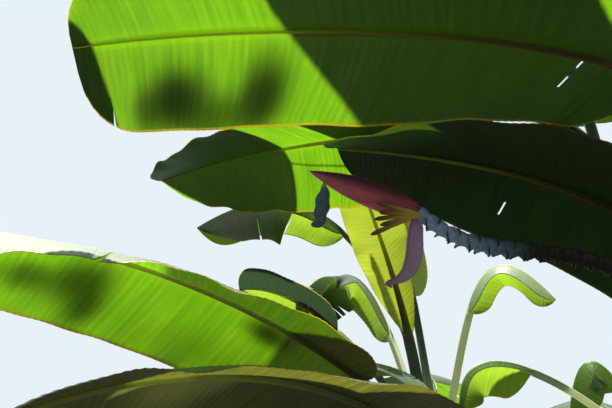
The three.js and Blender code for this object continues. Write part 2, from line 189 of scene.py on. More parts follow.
# %% [markdown]
# ## The leaves' sizes
#
# Each leaf is one line of numbers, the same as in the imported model: where it leaves its stem, how its curve
# starts and ends, the stalk's length, half the blade's width, how the blade rolls about its rib and how far
# its halves droop. The first leaves were placed one by one. The others follow one rule, so that the crown is
# full all round.

# %% Leaves
LEAVES = {
    "leaf_1a": dict(stem="stem_1", exit=(121, 1462), launch=(182, 104, 729), tip=(-1378, -70, 2058),
                    end=(153, 8, 662), stalk=660, half=170, roll=(-6, -37, -52), droop=(4, 6), widening=0.1,
                    rounding=(0.36, 0.11)),
    "leaf_1b": dict(stem="stem_1", exit=(77, 1356), launch=(80, 82, 805), tip=(-1464, 980, 2128),
                    end=(138, -1, 804), stalk=900, half=240, roll=(-5, -22, -10), droop=(19, 22),
                    rounding=(0.8, 0.45)),
    "leaf_1c": dict(stem="stem_1", exit=(158, 1346), launch=(128, 90, 429), tip=(-865, 480, 2068),
                    end=(158, 11, 395), stalk=415, half=190, roll=(-44, -34, -6), droop=(18, 29),
                    widening=0.08, rounding=(0.17, 0.17), wide=(1.3, 1)),
    "leaf_1d": dict(stem="stem_1", exit=(250, 1400), launch=(250, 80, 760), tip=(-480, -1010, 2080),
                    end=(246, -35, 420), stalk=480, half=165, roll=(0, 0, 0), droop=(12, 24)),
    "leaf_1e": dict(stem="stem_1", exit=(60, 1440), launch=(84, 80, 860), tip=(200, 1150, 2420),
                    end=(82, -25, 450), stalk=520, half=190, roll=(0, 10, 10), droop=(10, 20)),
    "leaf_2a": dict(stem="stem_2", exit=(200, 1350), launch=(192, 85, 329), tip=(-792, 766, 2134),
                    end=(220, 69, 255), stalk=235, half=109, roll=(-11, -36, -34), droop=(7, 12),
                    widening=0.6, girth=1.5),
    "leaf_2b": dict(stem="stem_2", exit=(68, 1370), launch=(95, 72, 300), tip=(-654, 960, 2316),
                    end=(99, 83, 312), stalk=350, half=115, roll=(0, 0, 0), droop=(8, 14)),
    "leaf_2c": dict(stem="stem_2", exit=(108, 1310), launch=(85, 58, 482), tip=(-1354, 1100, 1984),
                    end=(205, -37, 674), stalk=790, half=144, roll=(0, 0, 0), droop=(62, 78), split=0.68,
                    wide=(1.35, 0.9)),
    "leaf_2d": dict(stem="stem_2", exit=(180, 1218), launch=(140, 72, 240), tip=(-954, 1044, 1628),
                    end=(204, -64, 548), stalk=400, half=135, roll=(0, -15, -50), droop=(38, 58),
                    split=0.66),
    "leaf_2e": dict(stem="stem_2", exit=(310, 1320), launch=(307, 66, 220), tip=(-243, 646, 1673),
                    end=(321, -53, 411), stalk=340, half=132, roll=(0, 0, 0), droop=(35, 55), split=0.68,
                    wide=(0.6, 1.15)),
    "leaf_2g": dict(stem="stem_2", exit=(230, 1190), launch=(160, 66, 380), tip=(-1180, 1010, 1745),
                    end=(176, -8, 200), stalk=520, half=105, roll=(-50, -50, -50), droop=(8, 14)),
    "leaf_1j": dict(stem="stem_1", exit=(95, 1230), launch=(108, 78, 1200), tip=(-1560, 850, 2440),
                    end=(180, -8, 700), stalk=820, half=265, roll=(0, 0, 0), droop=(8, 16)),
    "leaf_3a": dict(stem="stem_3", exit=(215, 1190), launch=(216, 75, 323), tip=(-1707, -175, 1677),
                    end=(226, -26, 403), stalk=363, half=173, roll=(-41, -27, 1), droop=(26, 44),
                    rounding=(0.15, 0.15)),
    "leaf_3b": dict(stem="stem_3", exit=(250, 1140), launch=(236, 61, 372), tip=(-1356, -218, 1429),
                    end=(221, -19, 372), stalk=239, half=185, roll=(-35, -21, -33), droop=(14, 27)),
    "leaf_3c": dict(stem="stem_3", exit=(120, 1200), launch=(110, 72, 200), tip=(-800, 690, 1500),
                    end=(150, -5, 160), stalk=150, half=70, roll=(0, 0, 0), droop=(8, 14)),
    "leaf_4e": dict(stem="stem_4", exit=(55, 1040), launch=(90, 88, 1500), tip=(-985, -375, 2500),
                    end=(226, -17, 733), stalk=1350, half=210, roll=(0, 0, 0), droop=(6, 12)),
    "leaf_4a": dict(stem="stem_4", exit=(300, 1100), launch=(330, 72, 200), tip=(-548, 588, 1383),
                    end=(268, -84, 334), stalk=560, half=95, roll=(0, 0, 0), droop=(52, 70), split=0.62,
                    wide=(0.55, 1.15)),
    "leaf_4b": dict(stem="stem_4", exit=(165, 1110), launch=(335, 74, 160), tip=(-193, 750, 1371),
                    end=(182, -79, 374), stalk=330, half=90, roll=(0, 0, 0), droop=(52, 70), split=0.5),
}
EVEN_LEAVES = [  # name, stem, side, height left at, reach, and how high the tip hangs
    ("leaf_1f", "stem_1", 25, 1380, 1250, 1900), ("leaf_1g", "stem_1", 325, 1370, 1200, 1800),
    ("leaf_1h", "stem_1", 285, 1330, 950, 1650), ("leaf_1i", "stem_1", 65, 1300, 1150, 1650),
    ("leaf_2f", "stem_2", 85, 1230, 780, 1150), ("leaf_3d", "stem_3", 300, 1120, 700, 1050),
    ("leaf_4c", "stem_4", 20, 1080, 950, 1250), ("leaf_4d", "stem_4", 95, 1060, 850, 1150),
]
for name, stem, side, height, reach, tip_height in EVEN_LEAVES:
    tip = stem_centre(STEMS[stem], np.array(height / 1000)) * 1000 + heading(side) * reach
    LEAVES[name] = dict(stem=stem, exit=(side, height), launch=(side, 74, 0.62 * reach),
                        tip=(tip[0], tip[1], tip_height), end=(side, -42, 0.42 * reach), stalk=0.34 * reach,
                        half=60 + 0.1 * reach, roll=(0, 0, 0), droop=(14, 26), split=0.66)
print(len(LEAVES), "leaves")

# %% [markdown]
# ## The line of a leaf
#
# Across the leaf, two directions are needed at each point of the curve: one that points to its right-hand
# margin and one that points up out of its face. The first starts level and square to the leaf's overall
# course, has its part along the curve taken away, and is then rolled about the rib.

# %% A leaf's curve and its cross directions
RIB_HALF = (0.015, 0.003)   # half the rib's width at the stem and at the tip
RIB_DEPTH = (0.023, 0.007)


class Leaf:
    """One leaf's curve and frame. at(s) gives point, side and up after a length s from the stem."""

    def __init__(self, name):
        spec = LEAVES[name]
        stem = STEMS[spec["stem"]]
        self.name, self.spec = name, spec
        side, height = spec["exit"]
        z = np.array(height / 1000)
        start = stem_centre(stem, z) + 0.6 * stem_radius(stem, z) * heading(side)
        tip = np.array(spec["tip"]) / 1000
        turn, climb, pull = spec["launch"]
        pull_out = start + heading(turn, climb) * pull / 1000
        turn, climb, pull = spec["end"]
        self.points, self.lengths = bezier(start, pull_out, tip - heading(turn, climb) * pull / 1000, tip)
        self.length = self.lengths[-1]
        self.stalk = spec["stalk"] / 1000
        self.blade = self.length - self.stalk
        self.half = spec["half"] / 1000
        self.course = np.degrees(np.arctan2(*(tip - start)[[1, 0]]))
        self.size = min(1.0, 0.45 + spec["half"] / 330)
        self.nodes = [name] + ([name + "_outer"] if "split" in spec else [])

    def at(self, s):
        """Side = the level square to the course, less its part along the curve; up = side x direction; both
        are then turned about the curve by the roll, which runs in two straight stretches from base to middle
        to tip."""
        where, direction = along(self.points, self.lengths, s)
        t = np.clip((s - self.stalk) / self.blade, 0, 1)
        level = heading(self.course - 90)
        side = unit(level - direction * (direction @ level)[:, None])
        up = np.cross(side, direction)
        roll = np.radians(np.interp(t, [0, 0.5, 1], self.spec["roll"]))[:, None]
        return where, side * np.cos(roll) + up * np.sin(roll), up * np.cos(roll) - side * np.sin(roll)

    def outline(self, t, hand):
        """One half's width as a share of its widest: a quarter ellipse at the base, nearly straight sides and
        a blunt tip, which may round off sooner on one side."""
        first, last = self.spec.get("widening", 0.17), self.spec.get("rounding", (0.2, 0.2))[hand > 0]
        wide = self.spec.get("wide", (1, 1))[hand > 0]
        widening = np.sqrt(1 - (1 - np.clip(t / first, 0, 1)) ** 2)
        rounding = np.sqrt(1 - np.clip((t - 1 + last) / last, 0, 1) ** 2.8)
        return wide * widening * rounding * (1 - 0.1 * np.abs(t - 0.45))

    def rib(self, s):
        """Half width and depth of the rib after a length s. They shrink with the root of the way out."""
        t = np.sqrt(np.clip((s - self.stalk) / self.blade, 0, 1))
        size = self.size * self.spec.get("girth", 1)
        return tuple(size * (first + (last - first) * t) for first, last in (RIB_HALF, RIB_DEPTH))


leaves = {name: Leaf(name) for name in LEAVES}
print("longest leaf:", max((round(leaf.length, 2), name) for name, leaf in leaves.items()))

# %% [markdown]
# ## The blade
#
# A banana blade is a thin sheet, pleated by hundreds of side veins that leave the rib at a steep slant and
# bend towards the tip. Its margin is wavy, and wind tears it along the veins. So the grid's lines are laid
# along the veins: a tear is then simply a column of squares left out, with the columns beside it pushed
# apart. Both faces of the sheet are made, with a wall round every edge, so that each blade is a closed skin.

# %% The blade as a surface
SHEET = 0.0012        # thickness of the living blade as modelled
PLEAT = 0.0145        # distance from one fold to the next
PLEAT_HEIGHT = 0.0006
STEP = 0.0045         # length of a square along the rib
COLUMNS = 20          # squares from rib to margin
across = np.linspace(0, 1, COLUMNS + 1) ** 0.85


def blade_point(leaf, c, q, hand, waves):
    """Points of one half of the blade's middle sheet, and the direction out of it.

    c runs from 0 at the blade's foot to 1 at its tip along the veins' roots, q from 0 at the rib to 1 at the
    margin, and hand is -1 for the left half and 1 for the right. A vein drifts towards the tip by
    slant (0.45 q + 0.55 q^2) times 4c(1-c). The sheet leaves the rib at the inner droop and turns to the
    outer one between q = 0.2 and 0.8: its place across and down is the running sum of that angle's cosine and
    sine, times the width there. It starts inside the rib's side, so that the light that comes through the rib
    isn't stopped twice. Pleats are a wave in c, and the margin's ruffles are slower waves that grow with the
    cube of q."""
    slant = 0.34 * leaf.half / leaf.blade
    t = c + slant * (0.45 * q + 0.55 * q**2) * 4 * c * (1 - c)
    where, side, up = leaf.at(leaf.stalk + t.ravel() * leaf.blade)
    where, side, up = (a.reshape(*t.shape, 3) for a in (where, side, up))
    width = leaf.half * leaf.outline(t, hand)
    beside = 0.25 * leaf.rib(leaf.stalk + t * leaf.blade)[0] * ramp(width, 0.005, 0.02)
    fine = np.linspace(0, 1, 101)
    inner, outer = np.radians(leaf.spec["droop"])
    angle = inner + (outer - inner) * ramp(fine, 0.2, 0.8)
    out = np.interp(q, fine, np.concatenate([[0], np.cumsum(np.cos(angle[1:]))]) / 100)
    down = np.interp(q, fine, np.concatenate([[0], np.cumsum(np.sin(angle[1:]))]) / 100)
    tilt = np.interp(q, fine, angle)
    length = c * leaf.blade
    pleats = PLEAT_HEIGHT * np.sin(2 * np.pi * length / PLEAT) * ramp(q, 0, 0.2) * ramp(width, 0.01, 0.05)
    ruffle = 0
    for size, pitch, phase in waves:
        ruffle = ruffle + size * np.sin(2 * np.pi * length / pitch + phase + 1.4 * q)
    ruffle = ruffle * q**3 * ramp(width, 0.02, 0.09)
    normal = up * np.cos(tilt)[..., None] + hand * side * np.sin(tilt)[..., None]
    points = where + hand * side * np.maximum(width * out, beside)[..., None] - up * (width * down)[..., None]
    return points + normal * (pleats + ruffle)[..., None], normal


def tears(leaf, c, q, marks):
    """How far tears push c at each point, and which columns of squares each leaves out. A mark is (place
    along the blade, how far from the rib it starts, how wide it gapes at the margin in metres). Beside a tear
    the push falls off with distance as e^(-x / 0.05)."""
    push = np.zeros_like(c)
    gone = []
    for place, start, gape in marks:
        column = int(round(place * (c.shape[0] - 1)))
        far = (np.arange(c.shape[0]) - column - 0.5)[:, None] * STEP
        open_ = np.clip((q - start) / (1 - start), 0, 1)
        falling = np.exp(-(np.abs(far) - 0.5 * STEP) / 0.05)
        half_gap = 0.5 * (gape * open_**1.3 - STEP * (q > start - 0.1)) * falling
        push += np.sign(far) * half_gap / leaf.blade
        gone.append((column, start))
    return push, gone


def half_blade(leaf, hand, waves, marks, missing=()):
    """(points, faces, veins, out) of one closed half: two sheets a thickness apart, joined by walls wherever
    a kept square has no kept neighbour. missing lists torn-off strips as (from, to, how far out it starts and
    ends)."""
    rows = int(leaf.blade / STEP)
    c, q = np.meshgrid(np.linspace(0, 1, rows + 1), across, indexing="ij")
    push, gone = tears(leaf, c, q, marks)
    points, normal = blade_point(leaf, np.clip(c + push, 0, 1), q, hand, waves)
    thick = SHEET * (1 - 0.5 * q)[..., None] / 2
    keep = np.ones((rows, COLUMNS), bool)
    for column, start in gone:
        keep[column, across[1:] > start + 0.02] = False
    for first, last, start, end in missing:
        keep[int(first * rows):int(last * rows) + 1, (across[1:] > start) & (across[1:] <= end)] = False
    upper, lower = points + normal * thick, points - normal * thick
    count = (rows + 1) * (COLUMNS + 1)
    corners = grid_faces(rows + 1, COLUMNS + 1)[keep.ravel()]
    if hand > 0:
        corners = corners[:, ::-1]
    faces = np.concatenate([corners, corners[:, ::-1] + count])
    edges = np.stack([corners, np.roll(corners, -1, axis=1)], -1).reshape(-1, 2)
    key = edges[:, 0] * count + edges[:, 1]
    border = edges[~np.isin(key, edges[:, 1] * count + edges[:, 0])]
    walls = np.stack([border[:, 1], border[:, 0], border[:, 0] + count, border[:, 1] + count], -1)
    faces = np.concatenate([faces, walls])
    stacked = np.concatenate([upper.reshape(-1, 3), lower.reshape(-1, 3)])
    used = np.unique(faces)
    renumber = np.zeros(2 * count, int)
    renumber[used] = np.arange(len(used))
    veins = np.tile((c * leaf.blade + 3 * (hand < 0)).ravel(), 2)
    out = np.tile(q.ravel(), 2)
    return stacked[used], renumber[faces], veins[used], out[used]


# %% [markdown]
# ## Making all the blades
#
# Every blade gets its own ruffles and tears from a seeded generator, so that each run gives the same plant. A
# few tears are listed where the plant shows them.

# %% Ruffles, tears and missing strips
rng = np.random.default_rng(7)
RUFFLES = ((0.0025, 0.11, 0.16), (0.0045, 0.24, 0.38))  # height where a blade is 0.36 wide, range of pitch
TEARS = {name: [] for name in ("leaf_1c", "leaf_1j", "leaf_2a", "leaf_2b", "leaf_2e", "leaf_4a", "leaf_4e")}
TEARS.update({  # leaf: (hand, place, start, gape)
    "leaf_1a": [(1, 0.93, 0.72, 0.006), (-1, 0.6, 0.6, 0.008)], "leaf_1b": [(-1, 0.45, 0.6, 0.008)],
    "leaf_2c": [(1, 0.35, 0.3, 0.014), (-1, 0.62, 0.4, 0.014)], "leaf_2g": [(1, 0.4, 0.5, 0.010)],
    "leaf_3a": [(-1, 0.55, 0.5, 0.010)], "leaf_3b": [(-1, 0.35, 0.7, 0.006)],
})
MISSING = {  # strips and slits made by the wind: (leaf, hand): [(from, to, how far out it starts and ends)]
    ("leaf_1a", 1): [(0.163, 0.163, 0.1, 0.5)], ("leaf_1c", 1): [(0.446, 0.446, 0.45, 0.62)],
    ("leaf_1j", -1): [(0.52, 0.645, 0.05, 1)], ("leaf_1j", 1): [(0.52, 0.645, 0.05, 1), (0, 0.52, 0.4, 1)],
    ("leaf_2c", -1): [(0, 0.36, 0.3, 1)], ("leaf_2d", -1): [(0, 0.42, 0.25, 1)],
    ("leaf_2e", 1): [(0, 1, 0.38, 1)], ("leaf_4a", -1): [(0, 1, 0.38, 1)],
}

# %% [markdown]
# A blade isn't the same all over, and part of that is painted light. Painted shade darkens the soft shadows
# that something far above throws on two blades, and large parts of three small leaves that lie in shade. The
# oldest blade has a pale tan spot, painted light lifts the shaded foot of leaf_3a, and a painted white sheen
# stands for the sky's and sun's reflection in some places. Each patch is an ellipse on one half of a blade, and
# what it takes falls off smoothly, so that one number at each point can carry it to the finish.

# %% Patches on the blades
PAINTED_SHADE = {  # painted shade: (hand, place, share of the way out, reach along, reach out, strength)
    "leaf_1a": [(1, 0.80, 0.66, 0.062, 0.34, 0.95), (1, 0.86, 0.78, 0.03, 0.25, 0.5),
                (1, 0.645, 0.64, 0.042, 0.42, 0.9), (1, 0.72, 0.85, 0.09, 0.24, 0.6)],
    "leaf_2c": [(-1, 0.8, 0.5, 0.5, 3.0, 1)], "leaf_2g": [(-1, 0.5, 0.5, 3.0, 3.0, 1)],
    "leaf_2d": [(-1, 0.85, 0.5, 0.4, 3.0, 1), (1, 0.9, 0.5, 0.3, 3.0, 1)],
    "leaf_3a": [(1, 0.58, 0.42, 0.055, 0.30, 0.75), (1, 0.545, 0.70, 0.03, 0.22, 0.6),
                (1, 0.67, 0.50, 0.05, 0.2, 0.6), (1, 0.22, 0.15, 0.05, 0.15, 0.9)],
}
TAN_AND_PAINTED_LIGHT = {  # a pale tan spot, and painted light on leaf_3a's shaded foot, in the same terms
    "leaf_3a": [(-1, 0.0, 0.5, 0.26, 3.0, 0.6), (1, 0.03, 0.4, 0.16, 3.0, 1)],
    "leaf_3b": [(1, 0.69, 0.15, 0.08, 0.32, 1), (1, 0.60, 0.1, 0.04, 0.15, 0.6)],
}
PAINTED_SHEEN = {  # a painted white sheen for the sky's and sun's reflection, in the same terms
    "leaf_2e": [(1, 0.45, 0.2, 0.6, 3.0, 0.45)], "leaf_3a": [(-1, 1.0, 0.5, 0.52, 3.0, 0.75)],
    "leaf_4b": [(1, 0.5, 0.5, 0.6, 3.0, 0.7)],
}
SHADED_TIP = (0.952, 0.960)     # leaf_1a: painted shadow beyond this place, with a soft edge
SHADED_FOOT = (0.45, 0.48)      # leaf_3a's left half: partly painted shade up to this place
FOOT_SHADE = 0.62


def light_left(marks, place, out, right):
    """What is left after each patch has taken its share: the product of 1 - strength e^(-(distance^2.6)),
    where the distance is 1 on an ellipse round the patch's middle."""
    left = np.ones(len(place))
    for hand, c, q, reach, reach_out, strength in marks:
        far = ((place - c) / reach) ** 2 + ((out - q) / reach_out) ** 2
        left *= 1 - strength * np.exp(-(far**1.3)) * (right == hand)
    return left


# %% Every blade
blades = {}
for name, leaf in leaves.items():
    waves = [(size * leaf.half / 0.18, rng.uniform(short, long), rng.uniform(0, 6.3))
             for size, short, long in RUFFLES]
    marks = TEARS.get(name)
    if marks is None:
        marks = [(hand, rng.uniform(0.2, 0.85), rng.uniform(0.15, 0.6), rng.uniform(0.006, 0.022))
                 for hand in (-1, 1) for _ in range(rng.integers(1, 4))]
    halves = []
    for hand in (-1, 1):
        here = [mark[1:] for mark in marks if mark[0] == hand]
        halves.append(half_blade(leaf, hand, waves, here, MISSING.get((name, hand), ())))
    points, faces = several([(h[0], h[1].tolist()) for h in halves])
    values = dict(vein=np.concatenate([h[2] for h in halves]), out=np.concatenate([h[3] for h in halves]))
    right = np.repeat([-1, 1], [len(h[2]) for h in halves])
    place = (values["vein"] - 3 * (right < 0)) / leaf.blade
    light = light_left(PAINTED_SHADE.get(name, []), place, values["out"], right)
    values["tan_and_painted_light"] = 1 - light_left(TAN_AND_PAINTED_LIGHT.get(name, []), place, values["out"], right)
    values["painted_sheen"] = 1 - light_left(PAINTED_SHEEN.get(name, []), place, values["out"], right)
    # A painted shadow on leaf_1a's tip, and painted shade on the foot of leaf_3a's left half.
    if name == "leaf_1a":
        light *= 1 - ramp(place + 0.03 * right * values["out"], *SHADED_TIP)
    if name == "leaf_3a":
        light *= 1 - FOOT_SHADE * (right < 0) * (1 - ramp(place, *SHADED_FOOT))
    values["painted_shade"] = 1 - light
    blades[name] = piece(name + "_blade", points, faces, leaf.nodes, "leaf", **values)
print("blade triangles:", sum(2 * len(o.data.polygons) for o in blades.values()))

# %% [markdown]
# ## Stalk and rib
#
# One thick channel carries each leaf: it clasps the stem, runs out as the stalk and goes on as the rib under
# the blade, round below and hollowed above. It is a profile carried along the leaf's curve, which shrinks on
# its way.

# %% Ribs
# How pale a rib is, up to 1. The thin leaves' ribs let the most light through, and their whitish paleness is
# partly painted light. The ribs of leaf_3a and leaf_3b lie in shade and are painted paler, as painted light.
PALE_AND_PAINTED_LIGHT_RIBS = {"leaf_2d": 1, "leaf_2e": 1, "leaf_4a": 1, "leaf_4b": 1, "leaf_3a": 0.3, "leaf_3b": 0.3}
RIB_SHRINK = {"leaf_2a": 0.25, "leaf_3a": 0.78, "leaf_3b": 0.78}  # how much slimmer it gets under the blade


def rib_rings(leaf, around=22):
    """Rings of the channel. Below, the profile is half an ellipse of the rib's half width and depth; above,
    it is a groove that dips by 0.5 of the depth on the stalk and 0.1 under the blade. Near the stem it
    widens by 0.8 e^(-(s / 0.07)^2) to clasp it."""
    on_stalk = np.linspace(0, leaf.stalk, 40)[:-1]
    s = np.concatenate([on_stalk, leaf.stalk + leaf.blade * np.linspace(0, 0.995, 110)])
    where, side, up = leaf.at(s)
    half, depth = leaf.rib(s)
    clasp = 0.8 * np.exp(-((s / 0.07) ** 2))
    on_blade = ramp(s, leaf.stalk - 0.03, leaf.stalk + 0.05)
    half = half * (1 + clasp) * (1 - RIB_SHRINK.get(leaf.name, 0.62) * on_blade)
    groove = depth * (0.5 * (1 - on_blade) + 0.10 * on_blade)
    turn = np.linspace(0, 2 * np.pi, around, endpoint=False) + np.pi / around
    x = np.cos(turn)
    below = np.minimum(np.sin(turn), 0)
    above = np.maximum(np.sin(turn), 0)
    z = depth[:, None] * below[None]
    z = z + (0.0022 * above[None] - groove[:, None] * (above[None] ** 2) * (1 - x**2)[None])
    z = z - (depth * 0.1 * (1 - on_blade))[:, None]
    sideways = side[:, None] * (half[:, None] * x)[..., None]
    return where[:, None] + sideways + up[:, None] * z[..., None], s, turn


ribs = {}
for stem in STEMS:
    parts, place, below, pale = [], [], [], []
    for name, leaf in leaves.items():
        if leaf.spec["stem"] != stem:
            continue
        rings, s, turn = rib_rings(leaf)
        rings = rings[:, ::-1]
        parts.append(capped(rings))
        flat = np.repeat(np.clip((s - leaf.stalk) / leaf.blade, -1, 1), rings.shape[1])
        place.append(np.concatenate([flat, flat[:1], flat[-1:]]))
        under = np.tile(-np.sin(turn[::-1]), len(s))
        below.append(np.concatenate([under, [0, 0]]))
        pale.append(np.full(len(under) + 2, PALE_AND_PAINTED_LIGHT_RIBS.get(name, 0.0)))
    points, faces = several(parts)
    nodes = [n for name, leaf in leaves.items() if leaf.spec["stem"] == stem for n in leaf.nodes]
    ribs[stem] = piece(stem + "_ribs", points, faces, nodes, "leaf", place=np.concatenate(place),
                       below=np.concatenate(below), pale=np.concatenate(pale))
print("rib triangles:", sum(2 * len(o.data.polygons) for o in ribs.values()))

# %% [markdown]
# ## The stems
#
# Each stem is the roll of its leaves' bases. A base wraps right round low down and narrows to the leaf's own
# side as it rises, so its two margins cross the stem as slanting steps. Adding one thin layer for each leaf,
# cut off at those margins, gives the steps in the right places with no carving.

# %% Sheathed stems
SHEATHS = 0.011     # thickness of all the layers of one stem together
OLD_SHEATHS = 5     # layers of leaves that have long fallen


def stem_surface(name, around=160, rows=260):
    """Rings of one stem. With d the angle from a leaf's side, its layer is whole where d is under
    0.45 + 2.9 (share of the height below the exit)^0.8, and falls to nothing over 0.05 radians. Fine upright
    ridges are a sum of waves round the stem."""
    stem = STEMS[name]
    top = stem["top"][2]
    z = top * np.linspace(0, 1, rows) ** 1.1
    turn = np.linspace(0, 2 * np.pi, around, endpoint=False)
    Z, A = np.meshgrid(z, turn, indexing="ij")
    layers, edge = np.zeros_like(Z), np.zeros_like(Z)
    exits = [(np.radians(leaf.spec["exit"][0]), leaf.spec["exit"][1] / 1000)
             for leaf in leaves.values() if leaf.spec["stem"] == name]
    old = [(np.radians(40 + 150 * k), top * (0.3 + 0.14 * k)) for k in range(OLD_SHEATHS)]
    for side, height in exits + old:
        d = np.abs((A - side + np.pi) % (2 * np.pi) - np.pi)
        below = np.clip((height - Z) / height, 0, 1)
        reach = 0.45 + 2.9 * below**0.8 + 0.05 * np.sin(9 * Z / top + side)
        cover = (1 - ramp(d, reach, reach + 0.05)) * ramp(height - Z, -0.004, 0.004)
        layers += cover
        edge = np.maximum(edge, np.exp(-(((d - reach) / 0.07) ** 2)) * (Z < height))
    ridges = 0.00035 * np.sin(23 * A + 3 * np.sin(2.1 * Z)) + 0.0002 * np.sin(57 * A + 5 * Z)
    layers = layers / (len(exits) + len(old))
    radius = stem_radius(stem, Z) + SHEATHS * (layers - 0.75) + ridges
    centre = stem_centre(stem, Z)
    rings = centre + radius[..., None] * np.stack([np.cos(A), np.sin(A), np.zeros_like(A)], -1)
    dome = np.linspace(0, 1, 6)[1:, None, None]
    summit = stem_centre(stem, np.array(top))
    rise = np.array([0, 0, 0.45 * stem["top_radius"]])
    last = summit + (rings[-1] - summit) * np.sqrt(1 - 0.8 * dome**2) + rise * dome
    rings = np.concatenate([rings, last])
    edge = np.concatenate([edge, np.repeat(edge[-1:], 5, 0)])
    height = np.concatenate([Z, np.full((5, around), top)]) / top
    return rings, edge, height


stems = {}
for name in STEMS:
    rings, edge, height = stem_surface(name)
    points, faces = capped(rings)
    stems[name] = piece(name + "_sheaths", points, faces, [name], "stem", edge=np.append(edge, [0, 0]),
                        height=np.append(height, [0, 1]))
print("stem triangles:", sum(2 * len(o.data.polygons) for o in stems.values()))

# %% [markdown]
# ## The flower stalk
#
# Bracts opened along this stalk one after another, and each left a scar that juts out like a small shelf.
# They run round the stalk in a spiral, so the radius is a saw-tooth wave of one sum: the length gone plus the
# turn.

# %% Scarred stalk
def carried(points, lengths, s, radius, turn):
    """Rings at lengths s along a curve: point + radius (side cos(turn) + up sin(turn)), with side level."""
    where, direction = along(points, lengths, s)
    side = unit(np.stack([direction[:, 1], -direction[:, 0], np.zeros(len(s))], -1))
    up = unit(np.cross(side, direction))
    spoke = side[:, None] * np.cos(turn)[None, :, None] + up[:, None] * np.sin(turn)[None, :, None]
    return where[:, None] + radius[..., None] * spoke


STALK_END = np.array([-0.797, -0.250, 1.704])
START = np.array([-0.030, -0.020, 1.460])
STALK_RADIUS = (0.0150, 0.0082)     # at the stem and at the bud
SCAR_PITCH, SCAR_HEIGHT = 0.0165, 0.0125
AT_END = heading(189, 39.5)
stalk_points, stalk_lengths = bezier(START, START + heading(188, 30) * 0.649, STALK_END - AT_END * 0.184,
                                     STALK_END)
stalk_length = stalk_lengths[-1]
s = np.linspace(0, stalk_length, int(stalk_length / 0.0013))
turn = -np.linspace(0, 2 * np.pi, 36, endpoint=False)
S, A = np.meshgrid(s, turn, indexing="ij")
phase = (S / SCAR_PITCH + A / (2 * np.pi) * 2 + 0.12 * np.sin(3 * A)) % 1.0
shelf = phase**4 * (1 - ramp(phase, 0.92, 1.0)) * (0.35 + 0.65 * np.clip(np.sin(3 * A + 190 * S), 0, 1))
body = STALK_RADIUS[0] + (STALK_RADIUS[1] - STALK_RADIUS[0]) * (S / stalk_length) ** 0.8
radius = body + SCAR_HEIGHT * shelf + 0.0003 * np.sin(18 * A)
rings = carried(stalk_points, stalk_lengths, s, radius, turn)
points, faces = capped(rings)
stalk = piece("flower_stalk_scarred", points, faces, ["flower_stalk"], "flower_stalk",
              shelf=np.append(shelf, [0, 0]), gone=np.append(S / stalk_length, [0, 1]))
print("stalk length:", round(float(stalk_length), 3), "triangles:", 2 * len(stalk.data.polygons))

# %% [markdown]
# ## The bud
#
# The bud is a tight roll of bracts, each wrapped over the next, that comes to a point. Its outline is a
# smooth curve of the length, and each bract's free edge is a small step that winds round the bud, as on the
# stems.

# %% Bud
BUD_LENGTH, BUD_RADIUS = 0.161, 0.0195
BUD_AXIS = heading(180, 21.5)
PROFILE = np.array([[0, 0.42], [0.04, 0.62], [0.1, 0.78], [0.2, 0.93], [0.32, 1], [0.45, 0.97], [0.6, 0.84],
                    [0.75, 0.62], [0.87, 0.38], [0.95, 0.19], [1, 0.03]])
s = np.linspace(0, 1, 140)
turn = -np.linspace(0, 2 * np.pi, 96, endpoint=False)
S, A = np.meshgrid(s, turn, indexing="ij")
profile = np.interp(S, PROFILE[:, 0], PROFILE[:, 1])
kernel = np.hanning(9) / np.hanning(9).sum()
padded = np.pad(profile, ((4, 4), (0, 0)), mode="edge")
profile = sum(k * padded[i:i + len(s)] for i, k in enumerate(kernel))
wrap = (A / (2 * np.pi) * 2 - 1.1 * S + 0.1) % 1.0
lip = wrap**3 * (1 - ramp(wrap, 0.965, 1.0))
radius = BUD_RADIUS * profile * (1 + 0.035 * lip) + 0.00012 * np.sin(48 * A) * profile
start = STALK_END - BUD_AXIS * 0.002
bud_points, bud_lengths = bezier(start, start + BUD_AXIS * 0.05, start + BUD_AXIS * 0.11,
                                 start + BUD_AXIS * BUD_LENGTH, 200)
rings = carried(bud_points, bud_lengths, s * BUD_LENGTH, radius, turn)
points, faces = capped(rings)
upward = np.sin(A)
bud = piece("flower_bud_wrapped", points, faces, ["flower_bud"], "flower_bud", lip=np.append(lip, [0, 0]),
            upward=np.append(upward, [0, 0]), share=np.append(S, [0, 1]))
print("bud:", BUD_LENGTH, "long,", round(2 * float(radius.max()), 4), "across")

# %% [markdown]
# ## The open bract
#
# The lowest bract has lifted, folded back under the stalk and curled up at its end. It is a hollow tongue:
# its middle line is a smooth curve through a few points, and across it the sheet bows by half a cosine.

# %% Open bract
BRACT = np.array([[-799, 1696], [-805, 1681], [-808, 1663], [-810, 1645], [-813, 1630],
                  [-819, 1618], [-828, 1611], [-838, 1608], [-843, 1602], [-836, 1598]]) / 1000
ACROSS = heading(54)
knots = np.linspace(0, 1, len(BRACT))
u = np.linspace(0, 1, 90)
line = np.stack([np.interp(u, knots, BRACT[:, k]) for k in (0, 1)], -1)
kernel = np.hanning(17) / np.hanning(17).sum()
padded = np.concatenate([2 * line[:1] - line[8:0:-1], line, 2 * line[-1:] - line[-2:-10:-1]])
line = np.stack([np.convolve(padded[:, k], kernel, "valid") for k in (0, 1)], -1)
middle = np.stack([line[:, 0], np.full(90, -0.250), line[:, 1]], -1)
direction = unit(np.gradient(middle, axis=0))
front = unit(np.cross(ACROSS, direction))
half = 0.0215 * np.interp(u, [0, 0.1, 0.25, 0.45, 0.62, 0.8, 0.93, 1],
                          [0.45, 0.8, 1, 0.95, 0.72, 0.42, 0.28, 0.12])
v = np.linspace(-1, 1, 41)
bow = 0.5 * half[:, None] * (1 - np.cos(0.5 * np.pi * v)[None]) * (1 - 0.4 * u[:, None])
